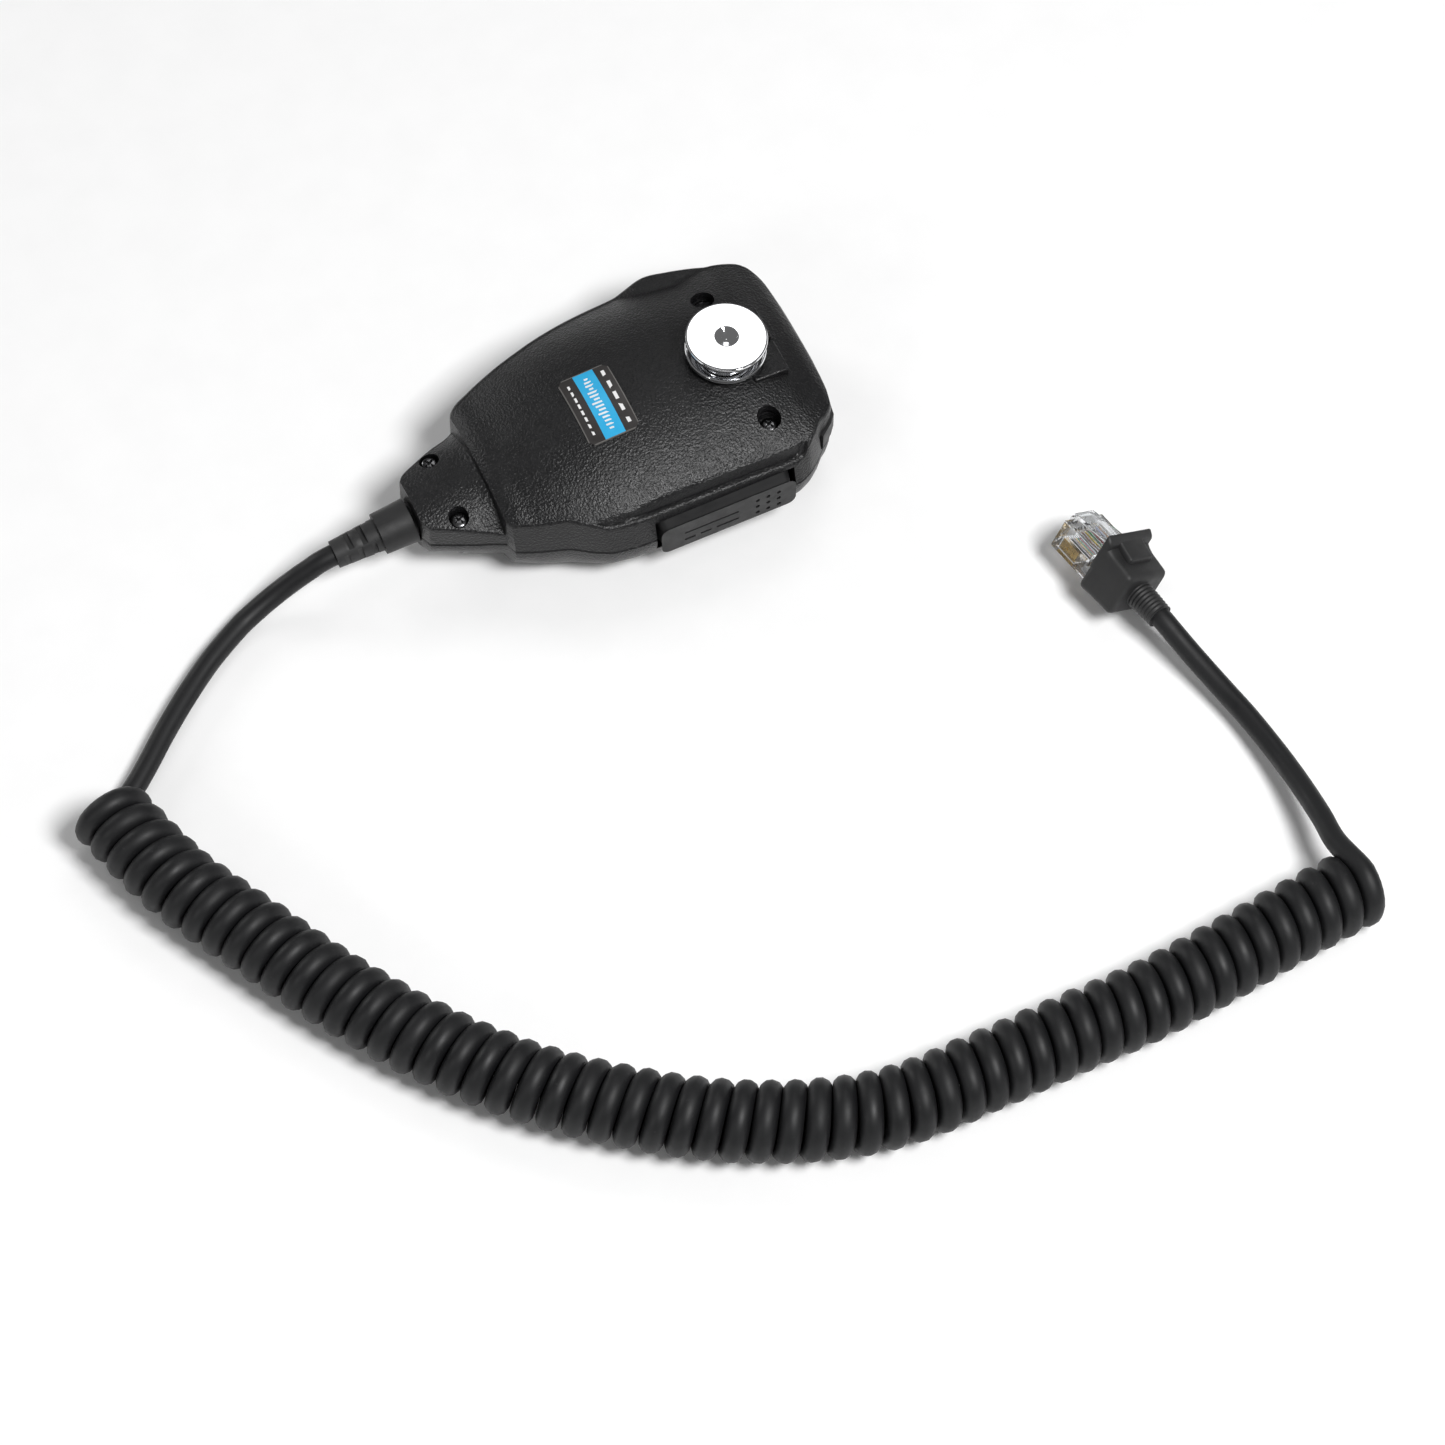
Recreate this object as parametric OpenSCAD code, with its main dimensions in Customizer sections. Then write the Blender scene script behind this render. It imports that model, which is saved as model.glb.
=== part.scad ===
// Hand microphone for a mobile radio: a two-shell case with a side push-to-talk bar, two end keys,
// a hang-up stud, a curly cord and an eight-way clear plug. It lies on its front face, z = 0.
// +X runs from the cord end to the key end, -Y is the push-to-talk side, +Z is the back cover.

/* [Case] */
// Height of the split plane between the two shells
split_z = 12; // [11:0.5:13]
// Thickness of the shell walls
wall = 2; // [1.8:0.1:2.2]
// Radius of the back cover's curve across the case
crown_across = 44; // [42:1:48]
// Height of the ledge above the push-to-talk bar
ledge_z = 18.4; // [18:0.1:19]

/* [Case screws] */
// Distance of the key end screws from the middle
head_screw_y = 16; // [15.5:0.5:16.5]
// Distance of the cord end screws from the middle
tail_screw_y = 7.5; // [7.2:0.1:7.6]
// Radius of a screw shank
screw_r = 1; // [0.8:0.1:1.2]
// Radius of a screw head
screw_head_r = 1.9; // [1.8:0.1:2.1]
// Length of a screw shank
screw_len = 10; // [9:0.5:10]

/* [Hang-up stud] */
// Radius of the outer flange
stud_r = 8.5; // [8:0.1:9]
// Radius of the neck between the flanges
stud_neck_r = 5.5; // [5:0.1:6]
// Height of the groove between the flanges
stud_groove = 2.6; // [2.2:0.1:3]
// Thickness of each flange
stud_flange = 1.3; // [1.1:0.1:1.5]
// Lean of the stud towards the key end
stud_tilt = 3; // [2:1:4]

/* [Push-to-talk bar] */
// Length of the bar
ptt_len = 30.4; // [30:0.1:31]
// Height of the bar
ptt_h = 8.4; // [8:0.1:8.4]
// How far the bar stands out of the side wall
ptt_out = 1.3; // [1:0.1:1.6]

/* [Cord and plug] */
// Diameter of the cord
cord_d = 4.6; // [4.4:0.1:4.8]
// Outer diameter of the curly section
coil_d = 16.4; // [16:0.1:16.4]
// Width of the clear plug
plug_w = 11.7; // [11.5:0.1:11.7]
// Height of the clear plug
plug_h = 6.6; // [6.3:0.1:6.8]
// Length of the clear plug
plug_len = 18.8; // [18.4:0.2:19]
// Width of the rubber boot where the cord enters
boot_w = 12.4; // [12.2:0.1:12.8]
// Width of the rubber boot round the plug
boot_front_w = 14.2; // [14:0.1:14.4]

/* [Hidden] */
$fn = 64;
gap = 0.4;
eps = 0.02;

tail_x = -42.8;
tail_across = 19;
floor_t = 2;
screw_head_h = 1.4;
head_seat_z = 20.1;
tail_seat_z = 16.1;
head_boss_z = 15;
tail_boss_z = 12.2;
head_screw_x = 30.5;
tail_screw_x = -35.4;
head_screws = [[head_screw_x, head_screw_y], [head_screw_x, -head_screw_y]];
tail_screws = [[tail_screw_x, tail_screw_y], [tail_screw_x, -tail_screw_y]];

label_x = -0.5;
label_l = 11.2;
label_w = 17;
label_t = 0.3;

stud_x = 28.2;
stud_base_z = 28.1;
stud_pad = 4.6;
stud_h = 2 * stud_flange + stud_groove;

ptt_x = 0.8;
ptt_z = 8;
ptt_wall_y = -26.2;
pivot_x = 3.5;
pivot_y = -21.4;
switch_x = 22;
board_z = 8;
board_t = 1.2;
key_y = 8.5;
key_z = 14.7;
key_h = 4.4;
key_travel = 0.5;
key_flange = 5.2;
key_board_x = 37.4;
capsule_x = 14;
cord_z = 12;
relief_len = 17.6;
relief_cone = 7.2;
relief_droop = 6;
cord_end_x = -32.1;

plug_pos = [84.4, -78.1, 8.7];
plug_yaw = 100.7;
plug_pitch = -2.5;
plug_roll = 33.3;
plug_top = 2.92;
plug_low = plug_top - plug_h;
boot_len = 9.6;
boot_low = -5.2;
boot_neck_len = 6.8;
latch_hinge = [20.6, 3.6];

// Places along the case where its sections are cut
station_x = [-42.8, -41.8, -38, -34, -31, -27.8, -27.6, -26.9, -22, -16.5, -12.4, -9, -4, 2, 8, 14, 18, 23,
             28, 33, 36, 38.6, 40.5, 42, 43.4, 44.4, 45.2, 45.7];
// Half widths of the case on the push-to-talk side and on the far side: [x, width]
near_half = [[-42.8, 5.4], [-41.8, 7.4], [-38, 9.3], [-34, 11.2], [-27.8, 14], [-27.6, 14.6], [-26.9, 16.5],
             [-22, 18.7], [-16.5, 20.6], [-12.4, 23.4], [-9, 25.2], [-4, 26], [0, 26.2], [33, 26.2], [36, 24.9],
             [38.6, 22.8], [40.5, 20.8], [42, 19.7], [43.4, 18.2], [44.4, 16.7], [45.2, 13.2], [45.7, 6]];
far_half = [[-42.8, 6.1], [-41.8, 7.4], [-38, 9.3], [-34, 11.2], [-27.8, 14.4], [-27.6, 14.9], [-26.9, 16.1],
            [-22, 19], [-16.5, 21.1], [-12.4, 22.5], [-9, 23.5], [-4, 25], [2, 26.5], [8, 27.5], [14, 28.3],
            [18, 29.1], [23, 29.8], [28, 28.8], [33, 27.6], [36, 26.7], [38.6, 25.9], [40.5, 25.3], [42, 24.6],
            [43.4, 23.2], [44.4, 21.1], [45.2, 18], [45.7, 11]];
// Height of the back along the middle, and its radius across
spine = [[-42.8, 19], [-35, 20.1], [-27.8, 20.9], [-27.6, 22], [-22, 23.7], [-12.4, 26], [-4, 27.2],
         [8, 27.7], [18, 27.6], [28, 27], [36, 25.4], [40.5, 23.6], [45.2, 21], [45.7, 20.2]];
across = [[-42.8, tail_across], [-27.8, tail_across], [-27.6, crown_across], [28, crown_across],
          [36, 1.3 * crown_across], [45.7, 2.2 * crown_across]];
// Height of the lowest line underneath, and how far the front shell's rounded edge reaches inwards
belly = [[-42.8, 5.5], [-35, 3.6], [-27.6, 2.2], [-16.5, 0], [42, 0], [43.4, 1], [44.4, 2.4], [45.7, 4.8]];
round_in = [[-42.8, 5], [-38, 8], [-16.5, 8.5], [-12, 11], [36, 11], [44.4, 8], [45.7, 5]];
edge_drop = 0.4;
// Height of the shoulder bulge on the far side
shoulder = [[14, 0], [18, 18.6], [23, 19.6], [28, 19.8], [36, 19.4], [42, 19], [45.7, 18.2]];
// Share of the wall thickness by which the cavity's sections move along the case
end_pull = [[-42.8, 1], [-27.6, 1], [-16.5, 0], [36, 0], [45.7, -1]];

// Plan of each end key, which wraps the corner of the case, anticlockwise
down_key_outline = [[43.4, -3.2], [43.2, -12], [42.4, -15], [41.5, -16.7], [39.2, -19.2], [40.6, -20.9],
                    [43.5, -18.6], [44.9, -16.9], [45.6, -13.2], [45.9, -8], [45.9, -3.2]];
up_key_outline = [[43.4, 3.2], [45.9, 3.2], [45.9, 11], [45.6, 17], [44.8, 21], [43.9, 23.2], [42.6, 24.9],
                  [40.8, 23.6], [42.2, 20.4], [43, 16]];

// Cord centre lines on the surface the microphone lies on
mic_lead_points = [[-66, 0, 8.3], [-70.5, 0, 6.1], [-75, -0.5, 4.3], [-80, -1.7, 2.9], [-84, -3.3, 2.35],
                   [-91.5, -7.7, 2.35], [-99, -13.2, 2.35], [-106, -19, 2.35], [-112.5, -24.9, 2.35],
                   [-117.5, -29.1, 2.35], [-121, -33, 2.35]];
coil_points = [[-124.5, -34, 8.2], [-118, -54.5, 8.2], [-108.5, -73, 8.2], [-99, -90.5, 8.2],
               [-87.5, -108, 8.2], [-74, -124, 8.2], [-59, -137, 8.2], [-43, -148, 8.2], [-26, -156, 8.2],
               [-10, -160, 8.2], [10, -160.5, 8.2], [28, -160.5, 8.2], [44, -160.5, 8.2], [62, -159, 8.2],
               [76, -157.5, 8.2], [93, -156, 8.2]];
plug_lead_points = [[91.3, -157, 13.9], [91.6, -152, 13.2], [92, -147, 11.9], [92.8, -140, 9.9],
                    [93.3, -132.5, 7.9], [93.4, -125, 6.2], [93, -118, 5.2], [92.2, -111, 4.7],
                    [90.9, -104.5, 4.8], [89.4, -98.5, 5.6], [87.9, -93, 6.8], [86.7, -88.6, 8]];
plug_axis = [cos(plug_yaw) * cos(plug_pitch), sin(plug_yaw) * cos(plug_pitch), sin(plug_pitch)];

function unit(v) = v / norm(v);
function left_of(v) = [-v[1], v[0]];

// Outline moved inwards by d; the points run anticlockwise
function inset(p, d) = [
    for (i = [0:len(p) - 1])
        let (n = len(p),
             a = left_of(unit(p[i] - p[(i + n - 1) % n])),
             b = left_of(unit(p[(i + 1) % n] - p[i])),
             m = unit(a + b))
        p[i] + m * d / max(0.5, m * a)];

// One point of a Catmull-Rom curve through the points p, at span i and fraction t
function on_curve(p, i, t) =
    let (n = len(p) - 1, a = p[max(i - 1, 0)], b = p[i], c = p[min(i + 1, n)], d = p[min(i + 2, n)])
    0.5 * (2 * b + (c - a) * t + (2 * a - 5 * b + 4 * c - d) * t * t + (3 * b - a - 3 * c + d) * t * t * t);
function curve(p, steps) = concat(
    [for (i = [0:len(p) - 2], k = [0:steps - 1]) on_curve(p, i, k / steps)], [p[len(p) - 1]]);

// Height of the back cover over the point x, y
function back_z(x, y) =
    let (r = lookup(x, across),
         crown = lookup(x, spine) - r + sqrt(r * r - y * y),
         ledge = x > -13 && x < 38.5 && y < -22.7 ? min(crown, ledge_z) : crown)
    y > 23 ? max(ledge, lookup(x, shoulder)) : ledge;

// Section of the back cover at x, from the near foot over the top to the far foot
function back_section(x, d, foot) =
    let (near = -lookup(x, near_half) + d, far = lookup(x, far_half) - d, px = x + d * lookup(x, end_pull),
         inner = max(near + 1.6, -22.9 + d), start = inner + 0.6, span = far - 1.6 - start)
    [[px, near, foot],
     [px, near, back_z(x, near - d) - 1.2 - d],
     [px, near + 0.9, back_z(x, near + 0.9 - d) - 0.3 - d],
     [px, inner, back_z(x, inner - d) - d],
     for (t = [0:0.125:1]) [px, start + t * span, back_z(x, start + t * span) - d],
     [px, far, back_z(x, far + d) - 1.2 - d],
     [px, far, foot]];

// Section of the front shell at x, from the far top edge under the belly to the near top edge
function front_section(x, d, top) =
    let (near = -lookup(x, near_half) + d, far = lookup(x, far_half) - d, px = x + d * lookup(x, end_pull),
         low = lookup(x, belly) + d, rise = split_z - edge_drop - low, reach = lookup(x, round_in) - d,
         a = [90, 70, 52, 36, 18, 0])
    [[px, far, top],
     for (k = [0:5]) [px, far - reach * (1 - sin(a[k])), low + rise * (1 - cos(a[k]))],
     for (k = [5:-1:0]) [px, near + reach * (1 - sin(a[k])), low + rise * (1 - cos(a[k]))],
     [px, near, top]];

// Rings of a tube along the points p
function tangent(p, i) = unit(p[min(i + 1, len(p) - 1)] - p[max(i - 1, 0)]);
function ring(c, t, r, sides) =
    let (u = unit(cross(t, [0, 0, 1])), v = cross(u, t))
    [for (k = [0:sides - 1]) c + r * (cos(360 * k / sides) * u + sin(360 * k / sides) * v)];

// Closed solid through a list of sections with the same number of points each
module loft(sections) {
    n = len(sections);
    m = len(sections[0]);
    skin = [for (i = [0:n - 2], k = [0:m - 1])
        let (a = i * m + k, b = i * m + (k + 1) % m) each [[a, b, b + m], [a, b + m, a + m]]];
    start = [[for (k = [m - 1:-1:0]) k]];
    end = [[for (k = [0:m - 1]) (n - 1) * m + k]];
    polyhedron([for (s = sections) each s], concat(skin, start, end), convexity = 10);
}

module tube(p, r, sides = 8) {
    loft([for (i = [0:len(p) - 1]) ring(p[i], tangent(p, i), r, sides)]);
}

module box(low, high) {
    translate(low) cube(high - low);
}

// ---- case ----

module back_block(d, foot) {
    loft([for (x = station_x) back_section(x, d, foot)]);
}

module front_block(d, top) {
    loft([for (x = station_x) front_section(x, d, top)]);
}

module cord_channel() {
    translate([tail_x - 1, 0, cord_z]) rotate([0, 90, 0]) cylinder(r = 3.6, h = 6);
    translate([tail_x + 1.9, 0, cord_z]) rotate([0, 90, 0]) cylinder(r = 5.1, h = 1.6);
}

module ptt_opening() {
    box([ptt_x - gap, -30, ptt_z - gap], [ptt_x + ptt_len + 0.7, -22, ptt_z + ptt_h + gap]);
}

// Room for a key, its flange and its travel
module key_room(y, outline) {
    for (t = [0, key_travel + 0.15])
        translate([-t, 0, key_z - key_h / 2 - 0.3]) linear_extrude(key_h + 0.6) polygon(inset(outline, -0.3));
    box([41.9 - key_travel - 0.3, y - key_flange - 0.2, key_z - key_h / 2 - 1.2],
        [43.1, y + key_flange + 0.2, key_z + key_h / 2 + 1.2]);
}

module key_openings() {
    key_room(key_y, up_key_outline);
    key_room(-key_y, down_key_outline);
}

module stud_axis() {
    translate([stud_x, 0, stud_base_z]) rotate([0, stud_tilt, 0]) children();
}

module ramp() {
    box([31, -8.4, 24], [38.8, 8.4, 26.6]);
    box([31, -0.6, 24], [38.8, 8.4, 27.2]);
}

module back_cover() {
    color([0.09, 0.09, 0.1]) difference() {
        union() {
            difference() {
                back_block(0, split_z);
                back_block(wall, split_z - 1);
            }
            intersection() {
                union() {
                    for (p = head_screws) translate([p[0], p[1], head_boss_z]) cylinder(r = 3.9, h = 12);
                    for (p = tail_screws) translate([p[0], p[1], tail_boss_z]) cylinder(r = 3.3, h = 12);
                }
                back_block(0.6, split_z);
            }
            ramp();
            stud_axis() translate([0, 0, -stud_pad]) cylinder(r = 6.8, h = stud_pad);
            box([pivot_x - 2, pivot_y - 1.6, 15.4], [pivot_x + 2, pivot_y + 2, 19]);
        }
        for (p = head_screws) {
            translate([p[0], p[1], head_seat_z]) cylinder(r = 2.5, h = 20);
            translate([p[0], p[1], 10]) cylinder(r = screw_r + 0.15, h = 20);
        }
        for (p = tail_screws) {
            translate([p[0], p[1], tail_seat_z]) cylinder(r = 2.3, h = 20);
            translate([p[0], p[1], 10]) cylinder(r = screw_r + 0.15, h = 20);
        }
        stud_axis() translate([0, 0, -10]) cylinder(r = 1.6, h = 20);
        cord_channel();
        ptt_opening();
        key_openings();
        translate([pivot_x, pivot_y, 10]) cylinder(r = 1.03, h = 7.4);
    }
}

module front_shell() {
    color([0.08, 0.08, 0.085]) difference() {
        union() {
            difference() {
                front_block(0, split_z);
                front_block(wall, split_z + 1);
            }
            for (p = head_screws) translate([p[0], p[1], 1.6]) cylinder(r = 3.2, h = head_boss_z - 1.7);
            intersection() {
                for (p = tail_screws) translate([p[0], p[1], 1]) cylinder(r = 2.9, h = split_z - 1);
                front_block(0.6, split_z);
            }
            for (p = board_screw_places) translate([p[0], p[1], 1]) cylinder(r = 2.4, h = board_z - 1);
            translate([capsule_x, 0, 1]) cylinder(r = 7.4, h = 5);
            translate([pivot_x, pivot_y, 1]) cylinder(r = 2, h = 7);
            for (s = [-1, 1]) box([key_board_x - 1.6, s * 13 - 2, 1], [key_board_x + 2.2, s * 13 + 2, 10]);
        }
        for (p = head_screws) translate([p[0], p[1], 5]) cylinder(r = screw_r + eps, h = 20);
        for (p = tail_screws) translate([p[0], p[1], 5.4]) cylinder(r = screw_r + eps, h = 20);
        for (p = board_screw_places) translate([p[0], p[1], 2.5]) cylinder(r = 0.8 + eps, h = 20);
        translate([capsule_x, 0, floor_t]) cylinder(r = 6.1, h = 20);
        grille_holes();
        cord_channel();
        ptt_opening();
        translate([pivot_x, pivot_y, 2.6]) cylinder(r = 1.03, h = 20);
        box([key_board_x, -15.2, 3], [key_board_x + 1.1, 15.2, 20]);
    }
}

module grille_holes() {
    for (x = [-2:2], y = [-2:2])
        if (x * x + y * y < 6)
            translate([capsule_x + 2.2 * x, 2.2 * y, -1]) cylinder(r = 0.7, h = 5);
}

module screw(top, length, r, head_r, head_h) {
    difference() {
        union() {
            translate([0, 0, top - head_h]) cylinder(r = head_r, h = head_h);
            translate([0, 0, top - head_h - length]) cylinder(r = r, h = length + 0.1);
        }
        for (a = [0, 90]) translate([0, 0, top]) rotate([0, 0, a]) cube([head_r * 1.2, 0.5, 1.4], center = true);
    }
}

module case_screws() {
    color([0.12, 0.12, 0.13]) {
        for (p = head_screws) translate([p[0], p[1], 0])
            screw(head_seat_z + screw_head_h, screw_len, screw_r, screw_head_r, screw_head_h);
        for (p = tail_screws) translate([p[0], p[1], 0])
            screw(tail_seat_z + screw_head_h, screw_len, screw_r, screw_head_r, screw_head_h);
    }
}

// ---- hang-up stud and label ----

module hang_stud() {
    color([0.86, 0.86, 0.88]) stud_axis() difference() {
        rotate_extrude() polygon([[0, 0], [stud_r - 0.4, 0], [stud_r - 0.1, 0.3], [stud_r - 0.1, stud_flange],
            [stud_neck_r, stud_flange], [stud_neck_r, stud_flange + stud_groove],
            [stud_r, stud_flange + stud_groove], [stud_r, stud_h - 0.4], [stud_r - 0.4, stud_h],
            [2.4, stud_h], [0, stud_h - 1.1]]);
        translate([0, 0, -1]) cylinder(r = 1.25 + eps, h = 4.2);
    }
}

module hang_stud_screw() {
    color([0.7, 0.7, 0.72]) stud_axis() mirror([0, 0, 1])
        screw(stud_pad + 0.6 + 1.6, stud_pad + 0.6 + 2.6, 1.25, 2.4, 1.6);
}

module hang_stud_washer() {
    color([0.75, 0.75, 0.76]) stud_axis() translate([0, 0, -stud_pad - 0.6]) difference() {
        cylinder(r = 3.2, h = 0.6);
        translate([0, 0, -1]) cylinder(r = 1.4, h = 3);
    }
}

// The label follows the back cover, as thin strips laid side by side
module label_plate() {
    ys = [for (t = [0:0.125:1]) label_w * (t - 0.5)];
    function label_section(x) = concat(
        [for (y = ys) [label_x + x, y, back_z(label_x + x, y)]],
        [for (k = [len(ys) - 1:-1:0]) [label_x + x, ys[k], back_z(label_x + x, ys[k]) + label_t]]);
    color([0.2, 0.2, 0.22]) loft([for (x = [-0.5:0.125:0.5]) label_section(x * label_l)]);
}

// ---- push-to-talk bar ----

module ptt_button() {
    color([0.1, 0.1, 0.105]) difference() {
        union() {
            intersection() {
                box([ptt_x, ptt_wall_y - ptt_out, ptt_z], [ptt_x + ptt_len, -23.4, ptt_z + ptt_h]);
                translate([0, ptt_wall_y - ptt_out, 0])
                    rotate([90, 0, 90]) linear_extrude(40)
                        polygon([[0, ptt_z], [5, ptt_z], [5, ptt_z + ptt_h], [1, ptt_z + ptt_h], [0, ptt_z + ptt_h - 1.4]]);
            }
            box([pivot_x - 1.8, -24, 8.4], [pivot_x + 1.8, pivot_y, 15]);
            translate([pivot_x, pivot_y, 8.4]) cylinder(r = 1.8, h = 6.6);
            box([switch_x - 0.75, -24, 9.6], [switch_x + 0.75, -20.9, 12.2]);
        }
        translate([pivot_x, pivot_y, 0]) cylinder(r = 1.05, h = 20);
        for (x = [0:2], z = [0:2])
            translate([ptt_x + 21.7 + 2.4 * x, ptt_wall_y - ptt_out + 0.5, ptt_z + 1.4 + 2.2 * z])
                rotate([90, 0, 0]) cylinder(r = 0.45, h = 2);
    }
}

module ptt_pivot_pin() {
    color([0.78, 0.78, 0.8]) translate([pivot_x, pivot_y, 2.7]) cylinder(r = 1, h = 14.6);
}

module ptt_spring() {
    color([0.75, 0.75, 0.78]) translate([13, -20.6, 11.4]) rotate([90, 0, 0]) difference() {
        cylinder(r = 1.8, h = 2.3);
        translate([0, 0, -1]) cylinder(r = 1.3, h = 5);
    }
}

module ptt_switch_body() {
    color([0.15, 0.15, 0.16]) difference() {
        box([switch_x - 3.5, -19.6, board_z + board_t], [switch_x + 3.5, -15.4, board_z + board_t + 4.2]);
        translate([switch_x, -15.9, 10.9]) rotate([90, 0, 0]) cylinder(r = 1.1, h = 5);
    }
}

module ptt_switch_plunger() {
    color([0.85, 0.83, 0.78]) translate([switch_x, -17.4, 10.9]) rotate([90, 0, 0]) cylinder(r = 1.05, h = 3.4);
}

// ---- board and capsule ----

board_screw_places = [[-16, -9], [22, 11]];

module circuit_board() {
    color([0.1, 0.35, 0.18]) difference() {
        box([-21, -18.8, board_z], [34, 18.8, board_z + board_t]);
        for (p = head_screws) translate([p[0], p[1], 0]) cylinder(r = 3.5, h = 20);
        for (p = head_screws) translate([p[0], p[1], 0])
            box([0, p[1] > 0 ? -3.5 : -10, 0], [10, p[1] > 0 ? 10 : 3.5, 20]);
        for (s = [-1, 1]) translate([-21, s * 18.8, 0]) rotate([0, 0, 45]) cube([9, 9, 40], center = true);
        for (p = board_screw_places) translate([p[0], p[1], 0]) cylinder(r = 1.1, h = 20);
    }
}

module board_screws() {
    color([0.7, 0.7, 0.72]) for (p = board_screw_places) translate([p[0], p[1], 0])
        screw(board_z + board_t + 1.1, 5, 0.8, 1.6, 1.1);
}

module mic_capsule() {
    color([0.75, 0.75, 0.76]) translate([capsule_x, 0, 2.8]) difference() {
        cylinder(r = 4.85, h = 4.6);
        for (a = [0:60:300]) rotate([0, 0, a]) translate([2.4, 0, -0.1]) cylinder(r = 0.4, h = 0.5);
    }
}

module capsule_boot() {
    color([0.12, 0.12, 0.12]) translate([capsule_x, 0, 2.4]) difference() {
        cylinder(r = 6.05, h = 5.2);
        translate([0, 0, 0.4]) cylinder(r = 4.85, h = 6);
        translate([0, 0, -1]) cylinder(r = 3.6, h = 6);
    }
}

module grille_cloth() {
    color([0.2, 0.2, 0.2]) translate([capsule_x, 0, floor_t]) cylinder(r = 6, h = 0.4);
}

// ---- keys at the end of the case ----

module key_cap(y, outline) {
    translate([0, 0, key_z - key_h / 2]) linear_extrude(key_h) polygon(outline);
    box([41.9, y - key_flange, key_z - key_h / 2 - 0.9], [42.9, y + key_flange, key_z + key_h / 2 + 0.9]);
    box([41.9, y - key_flange + 0.2, key_z - key_h / 2], [44, y + key_flange - 0.2, key_z + key_h / 2]);
}

module up_button() {
    color([0.11, 0.11, 0.115]) key_cap(key_y, up_key_outline);
}

module down_button() {
    color([0.11, 0.11, 0.115]) key_cap(-key_y, down_key_outline);
}

module key_board() {
    color([0.1, 0.35, 0.18]) box([key_board_x + 0.05, -15, 3.1], [key_board_x + 1.05, 15, 18.4]);
}

module key_switch(y) {
    difference() {
        box([key_board_x + 1.05, y - 2.4, key_z - 2.4], [key_board_x + 3.2, y + 2.4, key_z + 2.4]);
        translate([key_board_x + 1.6, y, key_z]) rotate([0, 90, 0]) cylinder(r = 1.3, h = 4);
    }
}

module key_plunger(y) {
    translate([key_board_x + 2.3, y, key_z]) rotate([0, 90, 0]) cylinder(r = 1.25, h = 41.85 - key_board_x - 2.3);
}

module up_switch() {
    color([0.2, 0.2, 0.21]) key_switch(key_y);
}

module down_switch() {
    color([0.2, 0.2, 0.21]) key_switch(-key_y);
}

module up_switch_plunger() {
    color([0.85, 0.83, 0.78]) key_plunger(key_y);
}

module down_switch_plunger() {
    color([0.85, 0.83, 0.78]) key_plunger(-key_y);
}

module key_ribbon() {
    color([0.75, 0.75, 0.72]) difference() {
        box([31, -4, board_z + board_t], [key_board_x + 0.05, 4, 12.6]);
        box([33.4, -5, board_z - 1], [37, 5, 12.2]);
        box([30, -5, board_z + board_t + 0.4], [33, 5, 12.8]);
    }
}

// ---- wiring ----

module wire_header() {
    color([0.9, 0.89, 0.84]) difference() {
        box([-16, -4, board_z + board_t], [-11, 10, board_z + board_t + 4.5]);
        box([-15, -3, board_z + board_t + 1.5], [-12, 9, board_z + board_t + 6]);
    }
}

module wire(a, b, r) {
    d = b - a;
    translate(a) rotate([0, acos(d[2] / norm(d)), atan2(d[1], d[0])]) cylinder(r = r, h = norm(d), $fn = 16);
}

module inner_wires() {
    for (i = [0:5])
        color([0.3 + 0.1 * i, 0.2, 0.8 - 0.1 * i])
            wire([cord_end_x, -1.6 + 0.64 * i, cord_z], [-16, -2.2 + 2.1 * i, 12.4], 0.28);
}

module cable_tie() {
    color([0.88, 0.88, 0.86]) translate([-37.6, 0, cord_z]) rotate([0, 90, 0]) difference() {
        union() {
            cylinder(r = 3.3, h = 2);
            box([-4.6, -1.2, 0], [-2.6, 1.2, 2]);
        }
        translate([0, 0, -1]) cylinder(r = cord_d / 2 + eps, h = 5);
    }
}

// Moves along the strain relief outside the case, which droops a little
module on_relief(l) {
    translate([tail_x, 0, cord_z]) rotate([0, -90 - relief_droop, 0]) translate([0, 0, l]) children();
}

module strain_relief() {
    color([0.07, 0.07, 0.075]) difference() {
        union() {
            translate([tail_x + 2, 0, cord_z]) rotate([0, 90, 0]) cylinder(r = 5, h = 1.4);
            translate([tail_x - 0.5, 0, cord_z]) rotate([0, 90, 0]) cylinder(r = 3.5, h = 3.4);
            on_relief(0.4) cylinder(r1 = 4.8, r2 = 4.45, h = relief_cone);
            on_relief(relief_cone) cylinder(r1 = 3.6, r2 = 2.95, h = relief_len - relief_cone);
        }
        for (i = [0:2]) on_relief(relief_cone + 2.3 + 3 * i) difference() {
            cube([12, 12, 1.1], center = true);
            cube([12, 4.9, 3], center = true);
        }
        for (i = [0:1]) on_relief(relief_cone + 3.8 + 3 * i) difference() {
            cube([12, 12, 1.1], center = true);
            cube([4.9, 12, 3], center = true);
        }
        on_relief(-1) cylinder(r = cord_d / 2 + eps, h = relief_len + 3);
        translate([tail_x - 1, 0, cord_z]) rotate([0, 90, 0]) cylinder(r = cord_d / 2 + eps, h = 30);
    }
}

module cord_mic_lead() {
    tip = [tail_x - (relief_len + 0.5) * cos(relief_droop), 0, cord_z - (relief_len + 0.5) * sin(relief_droop)];
    color([0.07, 0.07, 0.075])
        tube(concat([[cord_end_x, 0, cord_z], [tail_x, 0, cord_z], tip], mic_lead_points), cord_d / 2, 10);
}

module curly_cord() {
    color([0.07, 0.07, 0.075]) tube(coil_points, coil_d / 2, 12);
}

// ---- plug ----

module at_plug() {
    translate(plug_pos) rotate([0, 0, plug_yaw]) rotate([0, -plug_pitch, 0]) rotate([plug_roll, 0, 0]) children();
}

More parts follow.
